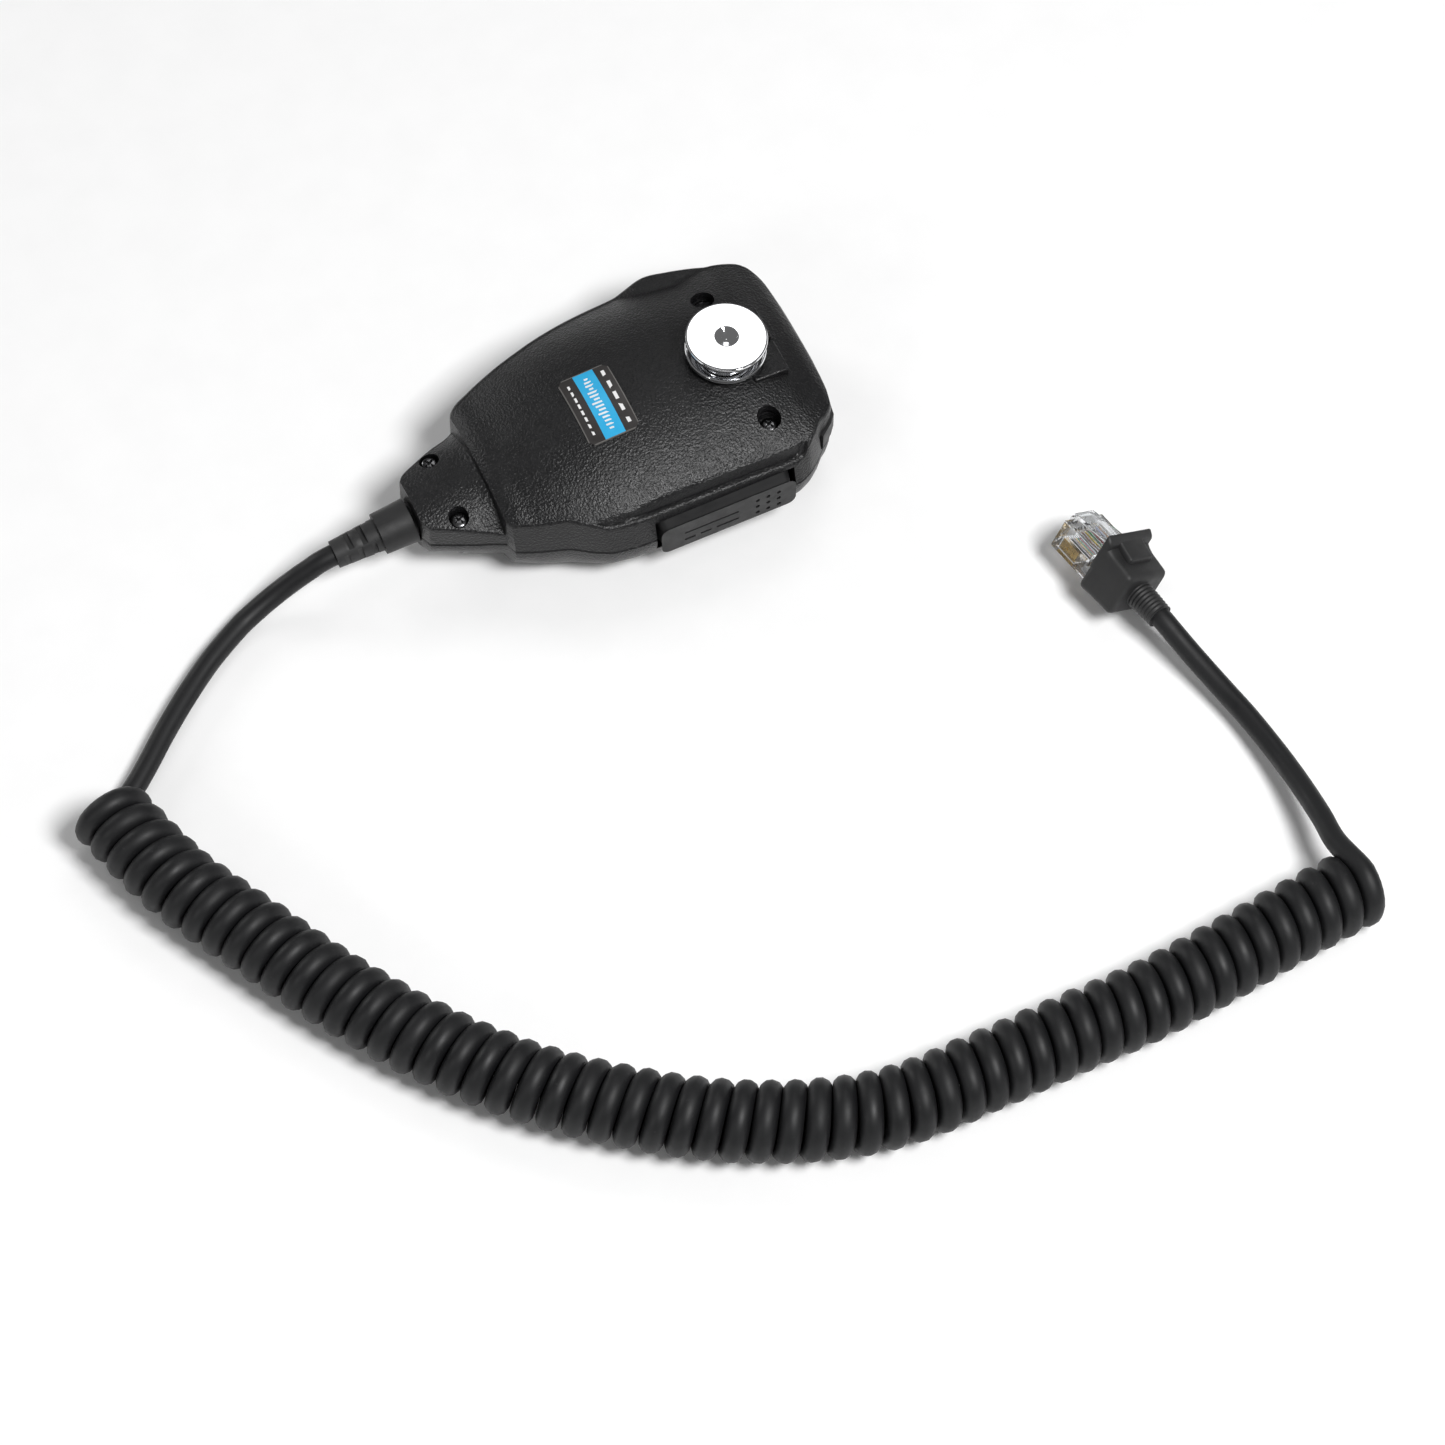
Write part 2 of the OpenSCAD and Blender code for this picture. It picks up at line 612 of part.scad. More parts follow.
module cord_plug_lead() {
    color([0.07, 0.07, 0.075])
        tube(concat(plug_lead_points, [for (u = [boot_neck_len, -1.2]) plug_pos - u * plug_axis]), cord_d / 2, 10);
}

module plug_boot() {
    color([0.08, 0.08, 0.085]) at_plug() difference() {
        union() {
            intersection() {
                translate([0, 8, 0]) rotate([90, 0, 0]) linear_extrude(16)
                    polygon([[0, boot_low], [boot_len, boot_low], [boot_len, 8.8], [9, 8.8], [8.3, 7], [6.4, 5.6],
                             [0, 5]]);
                translate([0, 0, -8]) linear_extrude(20)
                    polygon([[0, -boot_w / 2], [6.4, -boot_w / 2 - 0.4], [boot_len, -boot_front_w / 2],
                             [boot_len, boot_front_w / 2], [6.4, boot_w / 2 + 0.4], [0, boot_w / 2]]);
            }
            translate([0, 3.6, 0]) rotate([90, 0, 0]) linear_extrude(7.2)
                polygon([[3.6, 4], [boot_len, 4], [boot_len, 8.8], [7.7, 7.5], [3.6, 6.6]]);
            translate([-boot_neck_len, 0, 0]) rotate([0, 90, 0]) cylinder(r1 = 2.65, r2 = 3, h = boot_neck_len + 1);
        }
        box([1.4, -plug_w / 2 - eps, plug_low - eps], [boot_len + 1, plug_w / 2 + eps, plug_top + eps]);
        box([4.4, -3.2, 0], [boot_len + 1, 3.2, 5.8]);
        translate([-boot_neck_len - 1, 0, 0]) rotate([0, 90, 0]) cylinder(r = cord_d / 2 + eps, h = 20);
    }
}

module plug_body() {
    color([0.9, 0.93, 0.95, 0.4]) at_plug() difference() {
        union() {
            box([1.5, -plug_w / 2, plug_low], [1.5 + plug_len, plug_w / 2, plug_top]);
            box([plug_len, -2.9, 1.4], [1.5 + plug_len + 1, 2.9, plug_top]);
        }
        box([1, -4.6, -1.6], [11, 4.6, 1.6]);
        for (i = [-3.5:1:3.5])
            box([14, 1.02 * i - 0.25, plug_low - 1], [1.5 + plug_len - 1, 1.02 * i + 0.25, plug_low + 2.9]);
        for (i = [-3.5:1:3.5])
            translate([10, 1.02 * i, 0.1]) rotate([0, 90, 0]) cylinder(r = 0.4, h = 8, $fn = 24);
    }
}

module plug_latch() {
    color([0.9, 0.93, 0.95, 0.4]) at_plug() rotate([90, 0, 0]) translate([0, 0, -2.9]) {
        linear_extrude(5.8) polygon([[5.2, 4.7], [9.6, 4.7], [19.6, 3.2], [latch_hinge[0], 3.2],
                                     [latch_hinge[0] + 0.4, 3.6], [latch_hinge[0], 4.05], [19.6, 4.2], [9.8, 5.5],
                                     [5.2, 5.5]]);
        translate([latch_hinge[0], latch_hinge[1], 0]) cylinder(r = 0.45, h = 5.8);
    }
}

module plug_contacts() {
    color([0.85, 0.65, 0.25]) at_plug() for (i = [-3.5:1:3.5])
        box([14.2, 1.02 * i - 0.2, plug_low + 0.3], [1.5 + plug_len - 1.3, 1.02 * i + 0.2, plug_low + 2.7]);
}

module plug_wires() {
    at_plug() for (i = [0:7])
        color([0.2 + 0.1 * i, 0.45, 0.9 - 0.1 * i])
            wire([5.2, 0.5 * (i - 3.5), 0], [10.2, 1.02 * (i - 3.5), 0.1], 0.22);
    at_plug() for (i = [0:7])
        color([0.2 + 0.1 * i, 0.45, 0.9 - 0.1 * i])
            wire([10.1, 1.02 * (i - 3.5), 0.1], [17.4, 1.02 * (i - 3.5), 0.1], 0.36);
}

front_shell();
back_cover();
case_screws();
hang_stud();
hang_stud_screw();
hang_stud_washer();
label_plate();
ptt_button();
ptt_pivot_pin();
ptt_spring();
ptt_switch_body();
ptt_switch_plunger();
circuit_board();
board_screws();
mic_capsule();
capsule_boot();
grille_cloth();
up_button();
down_button();
key_board();
up_switch();
down_switch();
up_switch_plunger();
down_switch_plunger();
key_ribbon();
wire_header();
inner_wires();
cable_tie();
strain_relief();
cord_mic_lead();
curly_cord();
cord_plug_lead();
plug_boot();
plug_body();
plug_latch();
plug_contacts();
plug_wires();
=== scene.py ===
"""A hand microphone with its curly cord and plug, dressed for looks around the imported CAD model."""
import math
from contextlib import contextmanager

import bmesh
import bpy
import numpy as np
from mathutils import Matrix, Vector


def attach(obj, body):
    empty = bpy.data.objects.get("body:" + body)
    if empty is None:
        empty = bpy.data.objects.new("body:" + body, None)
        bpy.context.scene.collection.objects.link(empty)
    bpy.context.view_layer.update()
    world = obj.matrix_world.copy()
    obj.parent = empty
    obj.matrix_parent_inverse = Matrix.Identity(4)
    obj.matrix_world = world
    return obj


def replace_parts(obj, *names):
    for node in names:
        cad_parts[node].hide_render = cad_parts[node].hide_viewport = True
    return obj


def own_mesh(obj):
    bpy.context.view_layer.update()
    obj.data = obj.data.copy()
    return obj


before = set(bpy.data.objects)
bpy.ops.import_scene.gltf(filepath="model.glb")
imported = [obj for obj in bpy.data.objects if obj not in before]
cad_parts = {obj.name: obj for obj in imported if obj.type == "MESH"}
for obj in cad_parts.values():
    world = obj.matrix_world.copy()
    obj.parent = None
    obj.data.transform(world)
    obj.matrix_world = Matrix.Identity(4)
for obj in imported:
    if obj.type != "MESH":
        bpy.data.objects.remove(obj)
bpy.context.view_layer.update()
MM = 0.001


def put_in_scene(name, data):
    made = bpy.data.objects.new(name, data)
    bpy.context.scene.collection.objects.link(made)
    return made


# ---- camera ----

LENS = 128.1
SENSOR = 36
VIEW_YAW = math.radians(25.4)
VIEW_RISE = math.radians(60.5)
VIEW_AIM = Vector((-3.056, -64.43, 0)) * MM
VIEW_DISTANCE = 1.043


def make_camera():
    """Looks down on the microphone from its push-to-talk side, a metre away."""
    along_floor = Vector((math.sin(VIEW_YAW), math.cos(VIEW_YAW), 0))
    right = Vector((math.cos(VIEW_YAW), -math.sin(VIEW_YAW), 0))
    up = along_floor * math.sin(VIEW_RISE) + Vector((0, 0, math.cos(VIEW_RISE)))
    back = Vector((0, 0, math.sin(VIEW_RISE))) - along_floor * math.cos(VIEW_RISE)
    data = bpy.data.cameras.new("studio_camera")
    data.lens = LENS
    data.sensor_width = SENSOR
    data.sensor_height = SENSOR
    data.clip_start = 0.01
    camera = put_in_scene("studio_camera", data)
    turn = Matrix((right, up, back)).transposed().to_4x4()
    camera.matrix_world = Matrix.Translation(VIEW_AIM + back * VIEW_DISTANCE) @ turn
    bpy.context.scene.camera = camera


make_camera()


# ---- finishes ----

class Finish:
    """One procedural finish: a shader, and the nodes that give it grain, wear and colour."""

    def __init__(self, name):
        self.material = bpy.data.materials.new(name)
        self.material.use_nodes = True
        self.tree = self.material.node_tree
        self.shader = self.tree.nodes["Principled BSDF"]
        self.place = self.node("ShaderNodeTexCoord").outputs["Object"]

    def node(self, kind, **settings):
        made = self.tree.nodes.new(kind)
        for key, value in settings.items():
            if hasattr(made, key):
                setattr(made, key, value)
            else:
                made.inputs[key].default_value = value
        return made

    def link(self, a, b):
        self.tree.links.new(a, b)

    def noise(self, scale, detail=2.0, rough=0.5):
        made = self.node("ShaderNodeTexNoise", Scale=scale, Detail=detail, Roughness=rough)
        self.link(self.place, made.inputs["Vector"])
        return made.outputs["Fac"]

    def cells(self, scale):
        made = self.node("ShaderNodeTexVoronoi", Scale=scale)
        made.feature = "SMOOTH_F1"
        self.link(self.place, made.inputs["Vector"])
        return made.outputs["Distance"]

    def stretch(self, value, low, high, low_in=0.3, high_in=0.7):
        made = self.node("ShaderNodeMapRange")
        for socket, number in zip(made.inputs[1:5], (low_in, high_in, low, high)):
            socket.default_value = number
        self.link(value, made.inputs[0])
        return made.outputs[0]

    def sum(self, a, b, kind="ADD"):
        made = self.node("ShaderNodeMath", operation=kind)
        for socket, value in zip(made.inputs, (a, b)):
            if isinstance(value, (int, float)):
                socket.default_value = value
            else:
                self.link(value, socket)
        return made.outputs[0]

    def blend(self, share, a, b):
        made = self.node("ShaderNodeMix", data_type="RGBA")
        self.link(share, made.inputs[0])
        for socket, value in zip(made.inputs[6:8], (a, b)):
            if isinstance(value, tuple):
                socket.default_value = (*value, 1)
            else:
                self.link(value, socket)
        return made.outputs[2]

    def colour(self, value):
        self.link(value, self.shader.inputs["Base Color"])

    def rough(self, scale, detail, low, high):
        self.link(self.stretch(self.noise(scale, detail), low, high), self.shader.inputs["Roughness"])

    def bump(self, height, strength, depth):
        made = self.node("ShaderNodeBump", Strength=strength, Distance=depth)
        self.link(height, made.inputs["Height"])
        self.link(made.outputs[0], self.shader.inputs["Normal"])

    def fixed(self, **values):
        for key, value in values.items():
            self.shader.inputs[key.replace("_", " ")].default_value = value


FINE_GRAIN = 0.00006


def moulded(name, low, high, rough, grain, strength=0.35, metal=0.0):
    """A moulded, cast or pressed finish with fine grain and slow changes of tone and gloss."""
    made = Finish(name)
    tone = made.noise(90, 3)
    made.colour(made.blend(made.stretch(tone, 0, 1), low, high))
    made.rough(420, 4, *rough)
    made.bump(made.noise(grain, 3, 0.55), strength, FINE_GRAIN)
    made.fixed(Metallic=metal)
    return made


def spark_grain(name, low, high, rough):
    """Black plastic from a spark-eroded mould: pebbles under a millimetre."""
    made = Finish(name)
    made.colour(made.blend(made.stretch(made.noise(60, 4), 0, 1), low, high))
    pebbles = made.sum(made.cells(2000), made.noise(3200, 2), "ADD")
    made.rough(260, 4, *rough)
    made.bump(pebbles, 0.8, 0.00016)
    made.fixed(IOR=1.45)
    return made


def jacket(name):
    """The cord's satin jacket, with faint scuffs and dust."""
    made = Finish(name)
    scuffs = made.stretch(made.noise(700, 6, 0.7), 0, 1, 0.62, 0.78)
    made.colour(made.blend(scuffs, (0.006, 0.0062, 0.007), (0.024, 0.024, 0.025)))
    made.rough(180, 5, 0.46, 0.62)
    made.bump(made.noise(1500, 4), 0.12, FINE_GRAIN)
    made.fixed(IOR=1.42)
    return made


def polished_chrome(name):
    made = Finish(name)
    made.colour(made.blend(made.noise(300, 2), (0.86, 0.87, 0.89), (0.94, 0.94, 0.95)))
    made.rough(1100, 5, 0.03, 0.09)
    made.bump(made.noise(4000, 2), 0.02, 0.00002)
    made.fixed(Metallic=1.0)
    return made


def clear_moulding(name):
    made = Finish(name)
    made.colour(made.blend(made.noise(200, 2), (0.93, 0.95, 0.97), (0.98, 0.985, 0.99)))
    made.rough(900, 3, 0.02, 0.08)
    made.bump(made.noise(700, 2), 0.08, 0.00005)
    made.fixed(Transmission_Weight=1.0, IOR=1.5)
    return made


def woven(name, low, high, pitch):
    """Fine cloth, its threads crossing at the given pitch."""
    made = Finish(name)
    waves = []
    for direction in ("X", "Y"):
        wave = made.node("ShaderNodeTexWave", bands_direction=direction, Scale=1 / pitch)
        made.link(made.place, wave.inputs["Vector"])
        waves.append(wave.outputs["Fac"])
    weave = made.sum(waves[0], waves[1], "MULTIPLY")
    made.colour(made.blend(weave, low, high))
    made.rough(500, 2, 0.75, 0.95)
    made.bump(weave, 0.5, 0.0001)
    return made


def painted_by_piece(name, rough):
    """Takes each strand's colour from the piece's own attribute."""
    made = Finish(name)
    attribute = made.node("ShaderNodeAttribute")
    attribute.attribute_name = "strand_colour"
    dust = made.stretch(made.noise(1500, 3), 0, 0.12)
    made.colour(made.blend(dust, attribute.outputs["Color"], (0.6, 0.6, 0.6)))
    made.rough(900, 3, *rough)
    return made


CASE = spark_grain("case_black_grain", (0.0045, 0.0045, 0.005), (0.007, 0.007, 0.0077), (0.3, 0.4))
KEY = moulded("key_black", (0.0075, 0.0076, 0.0082), (0.012, 0.012, 0.0125), (0.42, 0.58), 2600, 0.3)
CORD = jacket("cord_jacket")
BOOT = moulded("boot_rubber", (0.011, 0.011, 0.0115), (0.02, 0.02, 0.0205), (0.48, 0.62), 1800)
CHROME = polished_chrome("polished_chrome")
BLACK_STEEL = moulded("blackened_steel", (0.1, 0.1, 0.104), (0.2, 0.2, 0.205), (0.16, 0.3), 3000, 0.2, 1.0)
STEEL = moulded("bright_steel", (0.5, 0.5, 0.51), (0.62, 0.62, 0.64), (0.2, 0.36), 3200, 0.15, 1.0)
DARK = moulded("switch_black", (0.012, 0.012, 0.013), (0.025, 0.025, 0.026), (0.4, 0.6), 2200)
PALE = moulded("nylon_white", (0.68, 0.66, 0.6), (0.78, 0.76, 0.71), (0.38, 0.55), 2200, 0.2)
CAPSULE = moulded("capsule_aluminium", (0.55, 0.55, 0.57), (0.68, 0.68, 0.7), (0.28, 0.45), 2600, 0.2, 1.0)
SOFT = moulded("capsule_rubber", (0.014, 0.014, 0.014), (0.028, 0.028, 0.028), (0.65, 0.85), 1400, 0.3)
CLOTH = woven("grille_cloth_weave", (0.006, 0.006, 0.006), (0.03, 0.03, 0.03), 0.0028)
GOLD = moulded("contact_gold", (0.78, 0.5, 0.14), (0.88, 0.62, 0.24), (0.18, 0.32), 3000, 0.1, 1.0)
CLEAR = clear_moulding("clear_moulding")
STRANDS = painted_by_piece("strand_colours", (0.3, 0.45))


def board_finish():
    """Green solder mask over copper tracks, with a pale legend between them."""
    made = Finish("board_green")
    tracks = made.node("ShaderNodeTexBrick", Scale=260.0)
    made.link(made.place, tracks.inputs["Vector"])
    tracks.inputs["Mortar Size"].default_value = 0.035
    tracks.inputs["Color1"].default_value = (0.012, 0.085, 0.03, 1)
    tracks.inputs["Color2"].default_value = (0.016, 0.11, 0.038, 1)
    tracks.inputs["Mortar"].default_value = (0.03, 0.2, 0.07, 1)
    made.colour(tracks.outputs["Color"])
    made.rough(500, 2, 0.25, 0.4)
    made.bump(tracks.outputs["Fac"], 0.3, 0.00005)
    return made


BOARD = board_finish()


# ---- shared mesh makers ----

def new_piece(name, mesh, finish, body):
    piece = put_in_scene(name, mesh)
    if finish is not None:
        mesh.materials.clear()
        mesh.materials.append(finish.material)
    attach(piece, body)
    return piece


def mesh_from(name, points, faces):
    mesh = bpy.data.meshes.new(name)
    mesh.from_pydata([tuple(p) for p in points], [], [tuple(f) for f in faces])
    mesh.validate()
    return mesh


def soften(mesh, angle=35):
    """Smooth faces, with a sharp edge where two meet at more than this angle."""
    mesh.polygons.foreach_set("use_smooth", [True] * len(mesh.polygons))
    mesh.set_sharp_from_angle(angle=math.radians(angle))


@contextmanager
def reworked(mesh):
    """The mesh opened for edits, which are written back to it at the end of the block."""
    work = bmesh.new()
    work.from_mesh(mesh)
    yield work
    work.to_mesh(mesh)
    work.free()


def face_outwards(mesh):
    with reworked(mesh) as work:
        bmesh.ops.remove_doubles(work, verts=work.verts, dist=1e-7)
        bmesh.ops.recalc_face_normals(work, faces=work.faces)


def loft(sections):
    """Closed skin through sections with the same number of points each, as points and faces."""
    count = len(sections[0])
    points = [p for section in sections for p in section]
    faces = []
    for i in range(len(sections) - 1):
        for k in range(count):
            a = i * count + k
            b = i * count + (k + 1) % count
            faces.append((a, b, b + count, a + count))
    faces.append(tuple(range(count - 1, -1, -1)))
    faces.append(tuple(range((len(sections) - 1) * count, len(sections) * count)))
    return points, faces


def merged(name, parts):
    """One mesh of several (points, faces) bodies, given in millimetres."""
    points = []
    faces = []
    for some_points, some_faces in parts:
        start = len(points)
        points.extend(Vector(p) * MM for p in some_points)
        faces.extend(tuple(start + i for i in face) for face in some_faces)
    mesh = mesh_from(name, points, faces)
    face_outwards(mesh)
    return mesh


ALONG_X = Matrix.Rotation(math.radians(90), 3, "Y")
ALONG_Y = Matrix.Rotation(math.radians(90), 3, "X")


def around(radius, sides, z=0.0):
    """Points on a level circle round the z axis."""
    angles = [2 * math.pi * k / sides for k in range(sides)]
    return [Vector((radius * math.cos(a), radius * math.sin(a), z)) for a in angles]


def drum(centre, radius, low, high, sides=48, turn=None):
    """A closed cylinder along z, or along the turned z."""
    return loft([
        [Vector(centre) + (turn @ p if turn else p) for p in around(radius, sides, z)] for z in (low, high)
    ])


def turned(profile, sides):
    """A closed body turned round the z axis, its profile starting and ending on the axis."""
    points = [Vector((0, 0, profile[0][1])), Vector((0, 0, profile[-1][1]))]
    for r, z in profile[1:-1]:
        points += around(r, sides, z)
    last = len(points) - sides
    faces = []
    for k in range(sides):
        n = (k + 1) % sides
        faces += [(0, 2 + n, 2 + k), (1, last + k, last + n)]
        faces += [(a + k, a + n, a + sides + n, a + sides + k) for a in range(2, last, sides)]
    return points, faces


def block(low, high):
    ring = [(low[0], low[1]), (high[0], low[1]), (high[0], high[1]), (low[0], high[1])]
    return loft([[Vector((x, y, z)) for x, y in ring] for z in (low[2], high[2])])


def prism(outline, low, high):
    return loft([[Vector((x, y, z)) for x, y in outline] for z in (low, high)])


def evaluated(piece):
    """The piece's mesh as its modifiers leave it."""
    graph = bpy.context.evaluated_depsgraph_get()
    return bpy.data.meshes.new_from_object(piece.evaluated_get(graph))


def carve(mesh, tools, kind="DIFFERENCE"):
    """mesh with the tool mesh cut out of it, or added to it."""
    piece = put_in_scene("carving", mesh)
    tool = put_in_scene("carving_tool", tools)
    cut = piece.modifiers.new("cut", "BOOLEAN")
    cut.operation = kind
    cut.object = tool
    cut.solver = "EXACT"
    result = evaluated(piece)
    if len(result.polygons) < 0.5 * len(mesh.polygons):
        cut.use_self = True
        result = evaluated(piece)
    bpy.data.objects.remove(piece)
    bpy.data.objects.remove(tool)
    return result


def round_edges(piece, width, segments, angle, harden):
    rounding = piece.modifiers.new("rounded_edges", "BEVEL")
    rounding.width = width
    rounding.segments = segments
    rounding.limit_method = "ANGLE"
    rounding.angle_limit = math.radians(angle)
    rounding.harden_normals = harden


def dressed_copy(node, finish, body, bevel):
    """A copy of a CAD node with its points merged and its edges rounded, which stands for the node."""
    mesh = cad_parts[node].data.copy()
    mesh.name = node + "_finished"
    with reworked(mesh) as work:
        bmesh.ops.remove_doubles(work, verts=work.verts, dist=1e-6)
        bmesh.ops.dissolve_limit(work, angle_limit=math.radians(0.5), verts=work.verts, edges=work.edges)
    soften(mesh, 38)
    piece = new_piece(node + "_finished", mesh, finish, body)
    round_edges(piece, bevel, 2, 38, True)
    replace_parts(piece, node)


# ---- geometry node trees ----

def new_tree(name, inputs, kinds, settings, links, last):
    """A tree of nodes, joined as "node.socket" pairs; "in" is its inputs, and "last" makes its result."""
    tree = bpy.data.node_groups.new(name, "GeometryNodeTree")
    names = {}
    for label, kind in {**inputs, "Finish": "Material"}.items():
        made = tree.interface.new_socket(label, in_out="INPUT", socket_type="NodeSocket" + kind)
        names[label] = made.identifier
    tree.interface.new_socket("Result", in_out="OUTPUT", socket_type="NodeSocketGeometry")
    ends = {
        "in": "NodeGroupInput", "out": "NodeGroupOutput", "real": "GeometryNodeRealizeInstances",
        "coat": "GeometryNodeSetMaterial",
    }
    nodes = {label: tree.nodes.new(kind) for label, kind in {**kinds, **ends}.items()}

    def socket(side, text):
        label, key = text.split(".")
        return getattr(nodes[label], side)[int(key) if key.isdigit() else key]

    for text, value in settings.items():
        label, key = text.split(".")
        if hasattr(nodes[label], key):
            setattr(nodes[label], key, value)
        else:
            socket("inputs", text).default_value = value
    finish_links = [
        (last, "real.0"), ("real.0", "coat.Geometry"), ("in.Finish", "coat.Material"), ("coat.0", "out.0"),
    ]
    for a, b in links + finish_links:
        tree.links.new(socket("outputs", a), socket("inputs", b))
    return tree, names


SKIN_KINDS = {
    "hoop": "GeometryNodeCurvePrimitiveCircle", "skin": "GeometryNodeCurveToMesh",
    "smooth": "GeometryNodeSetShadeSmooth",
}
SKIN_LINKS = [("hoop.Curve", "skin.Profile Curve"), ("skin.Mesh", "smooth.0")]

# Sets a piece down on every point, at the point's own size, all turned the same way.
REPEAT = new_tree(
    "set_down_at_places",
    {"Places": "Geometry", "Piece": "Object", "Turn": "Vector"},
    {
        "piece": "GeometryNodeObjectInfo", "size": "GeometryNodeInputNamedAttribute",
        "turn": "FunctionNodeEulerToRotation", "spread": "GeometryNodeInstanceOnPoints",
    },
    {"size.data_type": "FLOAT_VECTOR", "size.Name": "size"},
    [
        ("in.Piece", "piece.Object"), ("in.Places", "spread.Points"), ("piece.Geometry", "spread.Instance"),
        ("in.Turn", "turn.0"), ("turn.0", "spread.Rotation"), ("size.Attribute", "spread.Scale"),
    ],
    "spread.0",
)

# A coil spring along z, set down at a place and turned.
SPRING = new_tree(
    "coil_spring",
    {
        "Turns": "Float", "Radius": "Float", "Length": "Float", "Wire radius": "Float", "Place": "Vector",
        "Turn": "Vector",
    },
    {
        "coil": "GeometryNodeCurveSpiral", "move": "GeometryNodeTransform",
        "turn": "FunctionNodeEulerToRotation", **SKIN_KINDS,
    },
    {"coil.Resolution": 20, "hoop.Resolution": 8, "skin.Fill Caps": True},
    [
        ("in.Turns", "coil.Rotations"), ("in.Radius", "coil.Start Radius"), ("in.Radius", "coil.End Radius"),
        ("in.Length", "coil.Height"), ("in.Wire radius", "hoop.Radius"), ("coil.0", "skin.Curve"), *SKIN_LINKS,
        ("smooth.0", "move.Geometry"), ("in.Place", "move.Translation"), ("in.Turn", "turn.0"),
        ("turn.0", "move.Rotation"),
    ],
    "move.0",
)

# A tube along a straight line whose radius swells into rings and tapers to its end.
RINGED = new_tree(
    "ringed_sleeve",
    {
        "Start": "Vector", "End": "Vector", "First radius": "Float", "Last radius": "Float",
        "Ring height": "Float", "Rings": "Float",
    },
    {
        "line": "GeometryNodeCurvePrimitiveLine", "points": "GeometryNodeResampleCurve",
        "share": "GeometryNodeSplineParameter", "taper": "ShaderNodeMapRange", **SKIN_KINDS,
        **{label: "ShaderNodeMath" for label in ("phase", "turns", "wave", "height", "total")},
    },
    {
        "points.Count": 97, "hoop.Resolution": 40, "hoop.Radius": 1.0, "skin.Fill Caps": True,
        "phase.operation": "MULTIPLY", "turns.operation": "MULTIPLY", "turns.1": 2 * math.pi,
        "wave.operation": "COSINE", "height.operation": "MULTIPLY", "total.operation": "ADD",
    },
    [
        ("in.Start", "line.Start"), ("in.End", "line.End"), ("line.0", "points.Curve"),
        ("share.Factor", "taper.Value"), ("in.First radius", "taper.To Min"),
        ("in.Last radius", "taper.To Max"), ("share.Factor", "phase.0"), ("in.Rings", "phase.1"),
        ("phase.0", "turns.0"), ("turns.0", "wave.0"),
        ("wave.0", "height.0"), ("in.Ring height", "height.1"), ("taper.Result", "total.0"),
        ("height.0", "total.1"), ("points.Curve", "skin.Curve"), *SKIN_LINKS, ("total.0", "skin.Scale"),
    ],
    "smooth.0",
)


def grown(name, mesh, tree_and_names, values):
    """Runs a tree on a mesh, or on a single point, and keeps the result as a plain piece on the case."""
    tree, names = tree_and_names
    seed = put_in_scene(name, mesh or mesh_from(name + "_seed", [(0, 0, 0)], []))
    grower = seed.modifiers.new("grow", "NODES")
    grower.node_group = tree
    for key, value in values.items():
        grower[names[key]] = value
    result = evaluated(seed)
    bpy.data.objects.remove(seed)
    return new_piece(name, result, None, "case")


def repeated(name, pattern, places, sizes, turn, finish):
    """A pattern mesh set down at every place, in one piece."""
    spots = mesh_from("places", [Vector(p) * MM for p in places], [])
    kept = spots.attributes.new("size", "FLOAT_VECTOR", "POINT")
    kept.data.foreach_set("vector", [number for size in sizes for number in size])
    master = put_in_scene("pattern", pattern)
    values = {"Piece": master, "Turn": turn, "Finish": finish.material}
    piece = grown(name, spots, REPEAT, values)
    bpy.data.objects.remove(master)
    return piece


# ---- cord ----

TAIL_X = -42.8
CORD_Z = 12.0
DROOP = math.radians(6)
RELIEF_LENGTH = 17.6
COIL_TURNS = 56.5
COIL_RADIUS = 5.78
RINGS_PER_TURN = 24
LEAD_RADIUS = 2.25
STRAND_RADIUS = 2.42
BLEND_RINGS = 8
PLUG_PLACE = Vector((84.4, -78.1, 8.7))
PLUG_YAW, PLUG_PITCH, PLUG_ROLL = (math.radians(a) for a in (100.7, -2.5, 33.3))
PLUG_TURN = Matrix.Rotation(PLUG_YAW, 3, "Z") @ Matrix.Rotation(-PLUG_PITCH, 3, "Y")
PLUG_TURN = PLUG_TURN @ Matrix.Rotation(PLUG_ROLL, 3, "X")
MIC_LEAD = [
    (-66, 0, 8.3), (-70.5, 0, 6.1), (-75, -0.5, 4.3), (-80, -1.7, 2.9), (-84, -3.3, 2.35),
    (-91.5, -7.7, 2.35), (-99, -13.2, 2.35), (-106, -19, 2.35), (-112.5, -24.9, 2.35), (-117.5, -29.1, 2.35),
]
COIL = [
    (-124.5, -34, 8.2), (-118, -54.5, 8.2), (-108.5, -73, 8.2), (-99, -90.5, 8.2), (-87.5, -108, 8.2),
    (-74, -124, 8.2), (-59, -137, 8.2), (-43, -148, 8.2), (-26, -156, 8.2), (-10, -160, 8.2),
    (10, -160.5, 8.2), (28, -160.5, 8.2), (44, -160.5, 8.2), (62, -159, 8.2), (76, -157.5, 8.2),
    (93, -156, 8.2),
]
PLUG_LEAD = [
    (92, -147, 11.9), (92.8, -140, 9.9), (93.3, -132.5, 7.9), (93.4, -125, 6.2), (93, -118, 5.2),
    (92.2, -111, 4.7), (90.9, -104.5, 4.8), (89.4, -98.5, 5.6), (87.9, -93, 6.8), (86.7, -88.6, 8),
]


def at_plug(u, v, w):
    """A point given along the plug's nose, across it, and towards its latch."""
    return PLUG_PLACE + PLUG_TURN @ Vector((u, v, w))


